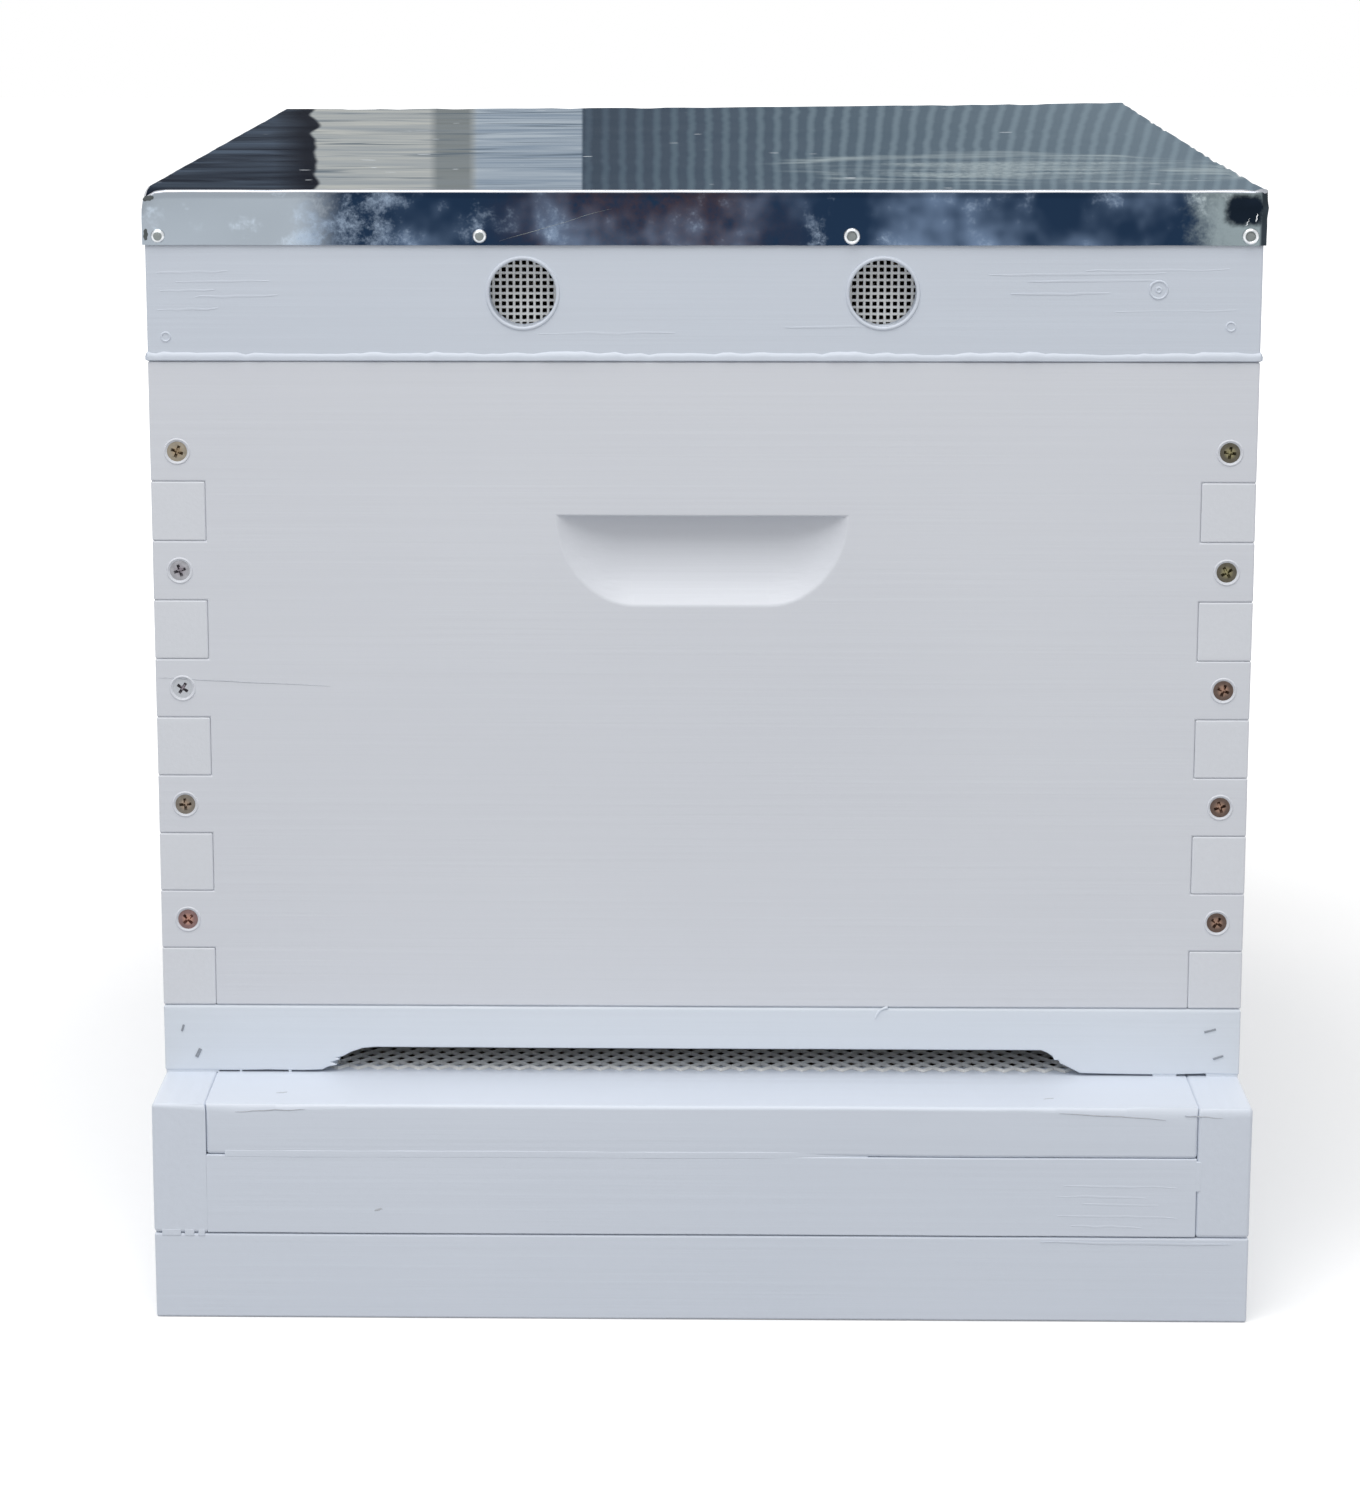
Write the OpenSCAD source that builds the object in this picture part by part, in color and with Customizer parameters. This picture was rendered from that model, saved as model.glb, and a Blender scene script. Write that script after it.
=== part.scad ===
// Painted ten-frame beehive in millimetres: a stand, a screened floor with a landing board
// and a pull-out tray, a finger-jointed brood box with its hanging frames, and a vented lid
// under a folded metal sheet. +Z is up, the front faces -Y, and the origin is on the ground
// under the middle of the hive.

/* [Brood box] */
// Outside width of the box
box_w = 406; // [400:1:430]
// Outside length of the box, front to back
box_l = 508; // [480:1:540]
// Height of the box
box_h = 244; // [225:1:265]
// Thickness of the box boards
board_t = 20; // [18:0.5:22]
// Rows of the finger joint down each corner
finger_rows = 11; // [9:2:13]
// Width of the ledge that carries the frames
rest_w = 9; // [8:0.5:11]
// Depth of that ledge below the top of the box
rest_d = 16; // [14:0.5:20]

/* [Hand holds] */
// Width of a hand hold along its straight top edge
hold_w = 107; // [100:1:130]
// Height of a hand hold
hold_h = 33.5; // [30:0.5:40]
// Depth of a hand hold under its top edge
hold_depth = 10.5; // [9:0.5:13]
// Length of the straight foot of a hand hold
hold_foot_w = 49; // [30:1:60]
// Drop from the top of the box to a hand hold
hold_drop = 57; // [50:1:90]

/* [Frames] */
// Space between the outer frames and the sides of the box
side_gap = 8; // [5:0.5:10]
// Space left between the end bars of neighbouring frames
frame_gap = 0.4; // [0.3:0.1:1]
// Bee space below the frames
under_gap = 6; // [5:0.5:9]
// Bee space between an end bar and the box end
end_gap = 10; // [6:0.5:11]
// Play at the tip of each lug
lug_gap = 3; // [1:0.5:4]
// Thickness of a lug
lug_t = 10; // [8:0.5:12]
// Width of the top bar
top_bar_w = 27; // [25:0.5:29]
// Thickness of the top bar between the end bars
top_bar_t = 20; // [15:0.5:24]
// Width of the top bar's neck inside the fork of an end bar
neck_w = 22; // [18:0.5:24]
// Thickness of the end bars
end_bar_t = 9; // [8:0.5:11]
// Width of the end bars below the shoulders
end_bar_low_w = 28; // [25:0.5:31]
// Length of the spacing shoulders
shoulder_h = 76; // [60:1:100]
// Length of the taper under a shoulder
shoulder_taper = 14; // [8:1:24]
// Width of the bottom bar
bottom_bar_w = 20; // [16:0.5:24]
// Thickness of the bottom bar
bottom_bar_t = 10; // [8:0.5:14]
// Diameter of the wire holes in the end bars
wire_hole_d = 2.5; // [2:0.1:4]
// Wire holes in each end bar
wire_holes = 4; // [3:1:5]
// Thickness of the glue line between the bars of a frame
glue_line = 0.1; // [0.05:0.05:0.2]
// Thickness of the wax foundation
wax_t = 2.2; // [1.5:0.1:4]
// Depth of the grooves that hold the foundation
wax_groove = 4; // [3:0.5:6]

/* [Lid] */
// Height of the lid boards
lid_board_h = 53; // [48:0.5:80]
// Clearance from the tips of the lugs to the inside of the lid's ends
lid_play = 0.5; // [0.3:0.1:1]
// Thickness of the plywood top
panel_t = 9; // [6:0.5:12]
// Thickness of the metal sheet
cover_t = 0.6; // [0.5:0.1:1]
// Space between the sheet's skirt and the boards
cover_gap = 0.4; // [0.3:0.1:1]
// Height of the skirt, from the top of the sheet
skirt_h = 20; // [15:0.5:26]
// Diameter of a vent hole
vent_d = 25; // [20:0.5:30]
// Distance between the two vents of an end
vent_span = 131; // [100:1:200]
// Height of the vents above the foot of the lid
vent_z = 25; // [22:0.5:27]
// Side of the square patch of vent mesh
vent_patch = 38; // [34:0.5:42]
// Spacing of the wires of the vent mesh
vent_pitch = 2.5; // [2.3:0.1:4]
// Width of a wire of the vent mesh
vent_wire = 0.9; // [0.6:0.1:1.2]

/* [Floor] */
// Reach of the landing board in front of the box
landing_out = 40; // [30:1:70]
// Length of landing board under the edge of the floor mesh
landing_in = 18; // [12:0.5:30]
// Thickness of the landing board
landing_t = 19.5; // [16:0.5:22]
// Thickness of the board below the landing board
front_t = 20; // [16:0.5:24]
// Height of the side rails
rail_h = 50; // [46:0.5:70]
// Thickness of the side rails
rail_t = 20; // [18:0.5:24]
// Height of the entrance bar and of the rims beside it
rim_h = 25.5; // [24:0.5:32]
// Thickness of the entrance bar and of the rims
rim_t = 20; // [16:0.5:24]
// Width of the entrance along its top
entrance_w = 259; // [150:1:300]
// Width of the entrance at its foot
entrance_foot_w = 287; // [160:1:330]
// Radius of the entrance's upper corners
entrance_r = 12; // [6:0.5:16]
// Height of the cut-out in the entrance bar
entrance_h = 9; // [7:0.5:14]
// Thickness of the floor mesh
mesh_t = 1; // [0.8:0.1:2]
// Space from the edge of the floor mesh to the outside of the floor
mesh_edge = 4; // [2:0.5:8]
// Columns of diamond gaps in the floor mesh
mesh_cols = 12; // [8:1:12]
// Rows of diamond gaps in the floor mesh
mesh_rows = 12; // [8:1:12]
// Width of the strands of the floor mesh
strand_w = 4; // [2:0.5:6]

/* [Tray] */
// Thickness of the tray board
tray_t = 4; // [3:0.5:6]
// Depth of the grooves that carry the tray
tray_groove = 8; // [6:0.5:11]
// Height of the tray grooves above the stand
tray_rise = 9; // [6:0.5:12]
// Height of the tray opening at the back
tray_gate_h = 24; // [20:0.5:28]
// Thickness of the tray's handle bar
handle_t = 20; // [16:0.5:24]
// Width of the finger notch in the handle bar
handle_notch_w = 70; // [60:1:120]
// Height of the finger notch in the handle bar
handle_notch_h = 9; // [6:0.5:12]
// Play of the tray in its grooves and opening
tray_play = 0.5; // [0.4:0.1:1]

/* [Stand] */
// Height of the stand
stand_h = 33; // [28:1:90]
// Thickness of the stand boards
stand_t = 20; // [16:0.5:24]

/* [Fasteners] */
// Diameter of the box screws
screw_d = 4; // [3.5:0.1:5]
// Diameter of the countersunk screw heads
screw_head_d = 7.6; // [7:0.1:9.5]
// Length of the box screws
screw_l = 50; // [40:1:65]
// Width of the cross recess in a screw head
cross_w = 1.1; // [0.8:0.1:1.4]
// Depth of the cross recess
cross_depth = 1.2; // [0.8:0.1:1.5]
// Diameter of the board nails
nail_d = 2.8; // [2.4:0.1:3.4]
// Diameter of the board nail heads
nail_head_d = 5; // [4.5:0.1:6.5]
// Length of the board nails
nail_l = 45; // [38:1:55]
// Distance of the board nails from the edges of their boards
nail_edge = 8; // [6:0.5:8.5]
// Diameter of the clouts that hold the sheet
clout_d = 2.5; // [2:0.1:3]
// Diameter of the clout heads
clout_head_d = 6.2; // [5.5:0.1:8]
// Diameter of the flat on a clout head
clout_flat_d = 4.4; // [4:0.1:5]
// Diameter of the dished middle of a clout head
clout_dish_d = 3.1; // [2.5:0.1:3.5]
// Height of the clout heads
clout_head_h = 1.2; // [0.8:0.1:1.6]
// Length of the clouts
clout_l = 12; // [10:0.5:12]
// Height of the clouts above the edge of the skirt
clout_rise = 3.3; // [3.2:0.1:6]
// Distance of the corner clouts from the ends of the front board
clout_corner = 5; // [4:0.5:8]
// Distance of the left inner clout from the middle of the front
clout_left = 81; // [40:1:140]
// Distance of the right inner clout from the middle of the front
clout_right = 54; // [40:1:140]
// Distance of the end clouts of a side from the corners
clout_side_end = 50; // [40:1:80]
// Clouts along a side
clout_side_count = 4; // [3:1:6]
// Radial play of a fastener in its hole
fastener_play = 0.1; // [0.05:0.05:0.2]

/* [Hidden] */
frame_count = 10;

$fn = 64;
// Overshoot of a cut past the face it opens
over = 1;

paint = "#d3d8df";
bare_pine = "#d8b987";
wax = "#d9a441";
zinc = "#8f9aa5";
screw_zinc = "#8a7a5c";
mesh_grey = "#b9bec4";

inner_w = box_w - 2 * board_t;
inner_l = box_l - 2 * board_t;
// The lid's ends and the mesh behind them stay clear of a lifted frame's lugs
lid_board_t = board_t - rest_w + lug_gap - lid_play - mesh_t;
lid_top = lid_board_h + panel_t + cover_t;
cover_out = cover_gap + cover_t;

// Levels above the ground
deck_z = stand_h + rail_h;
rim_z = deck_z + mesh_t;
box_z = rim_z + rim_h;
lid_z = box_z + box_h;

// The box is centred so that landing board and clout heads reach equally far
box_y = (landing_out - cover_out - clout_head_h) / 2;
nose_y = -box_l / 2 - landing_out;

// Finger joint: the end boards own each even row, and the first row above them too. The floor of a row
// is rounded to hundredths of a millimetre, so that the fingers of both boards meet in one plane
row_h = box_h / finger_rows;
end_rows = [for (row = [2:2:finger_rows]) row];
side_rows = [for (row = [3:2:finger_rows]) row];
function row_floor(row) = round((box_h - row * row_h) * 100) / 100;
function end_row_top(row) = row == 2 ? box_h : row_floor(row - 1);

// Hand hold: the cutter is a wheel on a vertical axis in front of the board. It travels sideways by the
// length of the straight foot, and its rounded rim runs out to the face there
wheel_run = (hold_w - hold_foot_w) / 2;
wheel_back = (pow(wheel_run, 2) / hold_depth - hold_depth) / 2;
wheel_r = wheel_back + hold_depth;
wheel_rim_r = (pow(hold_h, 2) / hold_depth + hold_depth) / 2;

// Frames
frame_pitch = (inner_w - 2 * side_gap) / frame_count;
frame_l = inner_l - 2 * end_gap;
top_bar_l = inner_l + 2 * rest_w - 2 * lug_gap;
frame_top = box_h - rest_d + lug_t;
frame_h = frame_top - under_gap;
end_bar_w = frame_pitch - frame_gap;
// Play of the foundation in its grooves and between the end bars
wax_play = 0.4;
function frame_x(k) = (k - (frame_count + 1) / 2) * frame_pitch;

// Fastener places
screw_head_h = (screw_head_d - screw_d) / 2;
screw_tip = screw_d;
nail_head_h = 1.2;
nail_tip = nail_d;
lid_nail_zs = [nail_edge, lid_top - skirt_h - nail_edge];
rim_nail_zs = [nail_edge, rim_h - nail_edge];
stand_nail_zs = [nail_edge, stand_h - nail_edge];
clout_xs = [clout_corner - box_w / 2, -clout_left, clout_right, box_w / 2 - clout_corner];

module block(low, high) {
    translate(low) cube(high - low);
}

module in_floor() {
    translate([0, box_y, 0]) children();
}

module in_box() {
    translate([0, box_y, box_z]) children();
}

module in_lid() {
    translate([0, box_y, lid_z]) children();
}

// Fasteners point along +Y, with the face that they go into at y = 0

module along_y() {
    rotate([-90, 0, 0]) children();
}

module screw() {
    color(screw_zinc) along_y() difference() {
        union() {
            cylinder(h = screw_head_h, d1 = screw_head_d, d2 = screw_d);
            cylinder(h = screw_l - screw_tip, d = screw_d);
            translate([0, 0, screw_l - screw_tip]) cylinder(h = screw_tip, d1 = screw_d, d2 = 0);
        }
        for (turn = [0, 90])
            rotate(turn)
                block([-screw_d / 2, -cross_w / 2, -over], [screw_d / 2, cross_w / 2, cross_depth]);
    }
}

module screw_bore() {
    bore_d = screw_d + 2 * fastener_play;
    head_d = screw_head_d + 2 * fastener_play;
    along_y() {
        cylinder(h = screw_head_h, d1 = head_d, d2 = bore_d);
        translate([0, 0, -over]) cylinder(h = screw_l + over + fastener_play, d = bore_d);
    }
}

module nail() {
    color(zinc) along_y() {
        cylinder(h = nail_head_h, d = nail_head_d);
        cylinder(h = nail_l - nail_tip, d = nail_d);
        translate([0, 0, nail_l - nail_tip]) cylinder(h = nail_tip, d1 = nail_d, d2 = 0);
    }
}

module nail_bore() {
    head_depth = nail_head_h + over + fastener_play;
    along_y() translate([0, 0, -over]) {
        cylinder(h = head_depth, d = nail_head_d + 2 * fastener_play);
        cylinder(h = nail_l + over + fastener_play, d = nail_d + 2 * fastener_play);
    }
}

module clout() {
    color(mesh_grey) along_y() difference() {
        union() {
            translate([0, 0, -clout_head_h]) cylinder(h = clout_head_h, d1 = clout_flat_d, d2 = clout_head_d);
            cylinder(h = clout_l, d = clout_d);
        }
        translate([0, 0, -clout_head_h - over])
            cylinder(h = clout_head_h / 2 + over, d = clout_dish_d);
    }
}

module clout_bore() {
    along_y() translate([0, 0, -over])
        cylinder(h = clout_l + over + fastener_play, d = clout_d + 2 * fastener_play);
}

module at_box_screws() {
    for (turn = [0, 180], side = [-1, 1], row = end_rows)
        rotate(turn)
            translate([side * (box_w - board_t) / 2, -box_l / 2, row_floor(row) + row_h / 2])
                children();
}

// Nails through the front and back boards of a ring into the ends of its side boards
module at_ring_nails(side_t, heights) {
    for (turn = [0, 180], side = [-1, 1], z = heights)
        rotate(turn) translate([side * (box_w - side_t) / 2, -box_l / 2, z]) children();
}

// Nails through the side rails into the boards between them
module at_rail_nails() {
    places = [
        [nose_y + front_t / 2, (stand_h + deck_z - landing_t) / 2],
        [nose_y + front_t, deck_z - landing_t / 2],
        [-box_l / 2 + landing_in / 2, deck_z - landing_t / 2],
        [box_l / 2 - rail_t / 2, (deck_z + stand_h + tray_gate_h) / 2]
    ];
    for (side = [-1, 1], place = places)
        translate([side * box_w / 2, place[0], place[1]]) rotate(side * 90) children();
}

module at_clouts() {
    side_run = box_l - 2 * clout_side_end;
    clout_z = lid_top - skirt_h + clout_rise;
    for (turn = [0, 180], x = clout_xs)
        rotate(turn) translate([x, -box_l / 2 - cover_out, clout_z]) children();
    for (turn = [90, 270], k = [0:clout_side_count - 1])
        rotate(turn)
            translate([side_run * (k / (clout_side_count - 1) - 0.5), -box_w / 2 - cover_out, clout_z])
                children();
}

// Stand: front and back boards lap the ends of the side boards

module at_stand_nails() {
    for (side = [-1, 1], z = stand_nail_zs) {
        translate([side * (box_w - stand_t) / 2, nose_y, z]) children();
        translate([side * (box_w - stand_t) / 2, box_l / 2, z]) rotate(180) children();
    }
}

module stand_end(outer_y, inner_y) {
    in_floor() color(paint) difference() {
        block([-box_w / 2, min(outer_y, inner_y), 0], [box_w / 2, max(outer_y, inner_y), stand_h]);
        at_stand_nails() nail_bore();
    }
}

module stand_front() {
    stand_end(nose_y, nose_y + stand_t);
}

module stand_back() {
    stand_end(box_l / 2, box_l / 2 - stand_t);
}

module stand_side(side) {
    in_floor() color(paint) difference() {
        translate([side * (box_w - stand_t) / 2, 0, 0])
            block([-stand_t / 2, nose_y + stand_t, 0], [stand_t / 2, box_l / 2 - stand_t, stand_h]);
        at_stand_nails() nail_bore();
    }
}

module stand_nails() {
    in_floor() at_stand_nails() nail();
}

// Floor: two grooved rails carry the boards between them, the mesh and the rim

module floor_rail(side) {
    groove_h = tray_t + tray_play;
    in_floor() color(paint) difference() {
        translate([side * (box_w - rail_t) / 2, 0, stand_h])
            difference() {
                block([-rail_t / 2, nose_y, 0], [rail_t / 2, box_l / 2, rail_h]);
                translate([-side * rail_t / 2, 0, tray_rise])
                    block([-tray_groove, nose_y + front_t, 0], [tray_groove, box_l / 2 + over, groove_h]);
            }
        at_rail_nails() nail_bore();
    }
}

module floor_board(low, high) {
    in_floor() color(paint) difference() {
        block(low, high);
        at_rail_nails() nail_bore();
    }
}

module front_board() {
    floor_board(
        [rail_t - box_w / 2, nose_y, stand_h],
        [box_w / 2 - rail_t, nose_y + front_t, deck_z - landing_t]
    );
}

module landing_board() {
    floor_board(
        [rail_t - box_w / 2, nose_y, deck_z - landing_t],
        [box_w / 2 - rail_t, -box_l / 2 + landing_in, deck_z]
    );
}

module floor_back_bar() {
    floor_board(
        [rail_t - box_w / 2, box_l / 2 - rail_t, stand_h + tray_gate_h],
        [box_w / 2 - rail_t, box_l / 2, deck_z]
    );
}

module diamond(w, l) {
    polygon([[-w / 2, 0], [0, -l / 2], [w / 2, 0], [0, l / 2]]);
}

// Expanded sheet: rows of diamonds, with a staggered row in each gap between them
module floor_mesh() {
    open_w = box_w - 2 * rail_t;
    open_l = box_l - 2 * rim_t;
    step = [open_w / mesh_cols, open_l / mesh_rows];
    in_floor() color(mesh_grey) translate([0, 0, deck_z]) linear_extrude(mesh_t) difference() {
        square([box_w - 2 * mesh_edge, box_l - 2 * mesh_edge], center = true);
        for (stagger = [0, 1], i = [1:mesh_cols - stagger], k = [1:mesh_rows - stagger])
            translate([
                (i - (mesh_cols + 1 - stagger) / 2) * step[0],
                (k - (mesh_rows + 1 - stagger) / 2) * step[1]
            ])
                diamond(step[0] - strand_w * sqrt(2), step[1] - strand_w * sqrt(2));
    }
}

module rim_end() {
    difference() {
        block([-box_w / 2, -box_l / 2, 0], [box_w / 2, rim_t - box_l / 2, rim_h]);
        at_ring_nails(rim_t, rim_nail_zs) nail_bore();
    }
}

// Wood left in an upper corner of the entrance, down to its rounding
module entrance_corner() {
    slope = atan2(entrance_h, (entrance_foot_w - entrance_w) / 2);
    run = entrance_r * tan(slope / 2);
    corner = [entrance_w / 2, entrance_h];
    centre = corner - [run, entrance_r];
    difference() {
        polygon([corner, corner - [run, 0], centre, corner + run * [cos(slope), -sin(slope)]]);
        translate(centre) circle(entrance_r);
    }
}

// The bar's cut-out is wider at its foot, with sloping ends
module entrance_cut() {
    spread = (entrance_foot_w - entrance_w) / 2 / entrance_h * over;
    foot = entrance_foot_w / 2 + spread;
    difference() {
        polygon([
            [-foot, -over], [foot, -over],
            [entrance_w / 2, entrance_h], [-entrance_w / 2, entrance_h]
        ]);
        for (side = [0, 1])
            mirror([side, 0]) entrance_corner();
    }
}

module entrance_bar() {
    in_floor() color(paint) translate([0, 0, rim_z]) difference() {
        rim_end();
        translate([0, -box_l / 2 + rim_t + over, 0])
            rotate([90, 0, 0]) linear_extrude(rim_t + 2 * over) entrance_cut();
    }
}

module rim_back() {
    in_floor() color(paint) translate([0, 0, rim_z]) rotate(180) rim_end();
}

module rim_side(side) {
    in_floor() color(paint) translate([0, 0, rim_z]) difference() {
        translate([side * (box_w - rim_t) / 2, 0, 0])
            block([-rim_t / 2, rim_t - box_l / 2, 0], [rim_t / 2, box_l / 2 - rim_t, rim_h]);
        at_ring_nails(rim_t, rim_nail_zs) nail_bore();
    }
}

module floor_nails() {
    in_floor() {
        translate([0, 0, rim_z]) at_ring_nails(rim_t, rim_nail_zs) nail();
        at_rail_nails() nail();
    }
}

// Tray: a sheet in the rail grooves, let into the bar that closes the opening

module tray_board() {
    half_w = box_w / 2 - rail_t + tray_groove - tray_play;
    in_floor() color(bare_pine) translate([0, 0, stand_h + tray_rise])
        block(
            [-half_w, nose_y + front_t + tray_play, 0],
            [half_w, box_l / 2 - handle_t / 2, tray_t]
        );
}

module tray_handle() {
    half_w = box_w / 2 - rail_t - tray_play;
    board_half_w = half_w + tray_groove;
    notch_r = (pow(handle_notch_w / 2, 2) + pow(handle_notch_h, 2)) / (2 * handle_notch_h);
    in_floor() color(paint) translate([0, 0, stand_h]) difference() {
        block(
            [-half_w, box_l / 2 - handle_t, tray_play],
            [half_w, box_l / 2, tray_gate_h - tray_play]
        );
        block(
            [-board_half_w, box_l / 2 - handle_t - over, tray_rise],
            [board_half_w, box_l / 2 - handle_t / 2, tray_rise + tray_t]
        );
        translate([0, box_l / 2 + over, tray_gate_h - tray_play + notch_r - handle_notch_h])
            rotate([90, 0, 0]) cylinder(h = handle_t / 2 + over - tray_play, r = notch_r, $fn = 96);
    }
}

// Brood box

// Half of the cutter wheel's section, flat on top
module wheel_section() {
    intersection() {
        translate([wheel_r - wheel_rim_r, 0]) circle(wheel_rim_r);
        translate([0, -wheel_rim_r]) square([wheel_r, wheel_rim_r]);
    }
}

module hold_cut() {
    translate([0, -box_l / 2 - wheel_back, box_h - hold_drop]) {
        for (side = [-1, 1])
            translate([side * hold_foot_w / 2, 0, 0]) rotate_extrude($fn = 128) wheel_section();
        rotate([90, 0, 90]) linear_extrude(hold_foot_w, center = true) wheel_section();
    }
}

module end_board() {
    color(paint) difference() {
        union() {
            block([-inner_w / 2, -box_l / 2, 0], [inner_w / 2, -inner_l / 2, box_h]);
            for (row = end_rows)
                block(
                    [-box_w / 2, -box_l / 2, row_floor(row)],
                    [box_w / 2, -inner_l / 2, end_row_top(row)]
                );
        }
        block(
            [-box_w / 2 - over, -inner_l / 2 - rest_w, box_h - rest_d],
            [box_w / 2 + over, -inner_l / 2 + over, box_h + over]
        );
        hold_cut();
        at_box_screws() screw_bore();
    }
}

// A side board's fingers reach the outer faces, and a tongue at its top fills the ledge
module side_board() {
    tongue_l = inner_l / 2 + rest_w;
    color(paint) difference() {
        union() {
            block([-box_w / 2, -inner_l / 2, 0], [-inner_w / 2, inner_l / 2, box_h]);
            for (row = side_rows)
                block(
                    [-box_w / 2, -box_l / 2, row_floor(row)],
                    [-inner_w / 2, box_l / 2, row_floor(row - 1)]
                );
            block([-box_w / 2, -tongue_l, box_h - rest_d], [-inner_w / 2, tongue_l, box_h]);
        }
        translate([-(box_w - box_l) / 2, 0, 0]) rotate(-90) hold_cut();
        at_box_screws() screw_bore();
    }
}

module box_front() {
    in_box() end_board();
}

module box_back() {
    in_box() rotate(180) end_board();
}

module box_left() {
    in_box() side_board();
}

module box_right() {
    in_box() rotate(180) side_board();
}

module box_screws() {
    in_box() at_box_screws() screw();
}

// Frames: z = 0 is the top of the top bar, and the end bars stand across Y

module top_bar() {
    dado = (top_bar_w - neck_w) / 2;
    difference() {
        block([-top_bar_w / 2, -top_bar_l / 2, -top_bar_t], [top_bar_w / 2, top_bar_l / 2, 0]);
        block(
            [-(wax_t + wax_play) / 2, end_bar_t - frame_l / 2, -top_bar_t - over],
            [(wax_t + wax_play) / 2, frame_l / 2 - end_bar_t, wax_groove - top_bar_t]
        );
        for (turn = [0, 180]) rotate(turn) {
            block(
                [-top_bar_w / 2 - over, -top_bar_l / 2 - over, -top_bar_t - over],
                [top_bar_w / 2 + over, -frame_l / 2, -lug_t]
            );
            for (side = [-1, 1])
                translate([side * (top_bar_w - dado) / 2, 0, 0])
                    block(
                        [-dado / 2 - (side < 0 ? over : 0), -frame_l / 2 - glue_line, -top_bar_t - over],
                        [dado / 2 + (side > 0 ? over : 0), end_bar_t - frame_l / 2 + glue_line, over]
                    );
        }
    }
}

// An end bar is wide at its shoulders, which space the frames, and forked for both bars
module end_bar() {
    low_z = -shoulder_h - shoulder_taper;
    fork_x = neck_w / 2 + glue_line;
    fork_z = -top_bar_t - glue_line;
    foot_x = bottom_bar_w / 2 + glue_line;
    foot_z = bottom_bar_t + glue_line - frame_h;
    right_edge = [
        [foot_x, foot_z], [foot_x, -frame_h], [end_bar_low_w / 2, -frame_h], [end_bar_low_w / 2, low_z],
        [end_bar_w / 2, -shoulder_h], [end_bar_w / 2, 0], [fork_x, 0], [fork_x, fork_z]
    ];
    left_edge = [for (k = [len(right_edge) - 1:-1:0]) [-right_edge[k][0], right_edge[k][1]]];
    wire_run = frame_h - top_bar_t - bottom_bar_t;
    difference() {
        translate([0, end_bar_t - frame_l / 2, 0])
            rotate([90, 0, 0]) linear_extrude(end_bar_t) polygon(concat(right_edge, left_edge));
        for (k = [1:wire_holes])
            translate([0, -frame_l / 2 - over, -top_bar_t - wire_run * (k - 0.5) / wire_holes])
                along_y() cylinder(h = end_bar_t + 2 * over, d = wire_hole_d);
    }
}

module bottom_bar() {
    difference() {
        block(
            [-bottom_bar_w / 2, -frame_l / 2, -frame_h],
            [bottom_bar_w / 2, frame_l / 2, bottom_bar_t - frame_h]
        );
        block(
            [-(wax_t + wax_play) / 2, end_bar_t - frame_l / 2, bottom_bar_t - wax_groove - frame_h],
            [(wax_t + wax_play) / 2, frame_l / 2 - end_bar_t, bottom_bar_t - frame_h + over]
        );
    }
}

module hive_frame(k) {
    in_box() translate([frame_x(k), 0, frame_top]) color(bare_pine) {
        top_bar();
        bottom_bar();
        end_bar();
        rotate(180) end_bar();
    }
}

module foundation(k) {
    half_l = frame_l / 2 - end_bar_t - wax_play;
    in_box() translate([frame_x(k), 0, frame_top]) color(wax)
        block(
            [-wax_t / 2, -half_l, bottom_bar_t - wax_groove - frame_h],
            [wax_t / 2, half_l, wax_groove - wax_play - top_bar_t]
        );
}

// Lid: z = 0 is its foot, which rests on the box

module lid_end() {
    color(paint) difference() {
        block([-box_w / 2, -box_l / 2, 0], [box_w / 2, lid_board_t - box_l / 2, lid_board_h]);
        for (side = [-1, 1])
            translate([side * vent_span / 2, -box_l / 2 - over, vent_z])
                along_y() cylinder(h = lid_board_t + 2 * over, d = vent_d);
        at_ring_nails(lid_board_t, lid_nail_zs) nail_bore();
        at_clouts() clout_bore();
    }
}

module lid_front() {
    in_lid() lid_end();
}

module lid_back() {
    in_lid() rotate(180) lid_end();
}

module lid_side(side) {
    in_lid() color(paint) difference() {
        translate([side * (box_w - lid_board_t) / 2, 0, 0])
            block(
                [-lid_board_t / 2, lid_board_t - box_l / 2, 0],
                [lid_board_t / 2, box_l / 2 - lid_board_t, lid_board_h]
            );
        at_ring_nails(lid_board_t, lid_nail_zs) nail_bore();
        at_clouts() clout_bore();
    }
}

module lid_nails() {
    in_lid() at_ring_nails(lid_board_t, lid_nail_zs) nail();
}

module lid_panel() {
    in_lid() color(bare_pine)
        block([-box_w / 2, -box_l / 2, lid_board_h], [box_w / 2, box_l / 2, lid_board_h + panel_t]);
}

module rounded_plan(w, l, r) {
    square([w, l - 2 * r], center = true);
    square([w - 2 * r, l], center = true);
    for (x = [-1, 1], y = [-1, 1])
        translate([x * (w / 2 - r), y * (l / 2 - r)]) circle(r);
}

// Profile with its top at height 0 and round upper corners
module bent_profile(w, h, r) {
    translate([-w / 2, -h]) square([w, h - r]);
    translate([r - w / 2, -h]) square([w - 2 * r, h]);
    for (x = [-1, 1])
        translate([x * (w / 2 - r), -r]) circle(r);
}

// Solid with the outside form of a folded sheet, hanging down from height 0
module folded_cap(w, l, h, r) {
    intersection() {
        translate([0, 0, -h]) linear_extrude(h) rounded_plan(w, l, r);
        rotate([90, 0, 0]) linear_extrude(l, center = true) bent_profile(w, h, r);
        rotate([90, 0, 90]) linear_extrude(w, center = true) bent_profile(l, h, r);
    }
}

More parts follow.
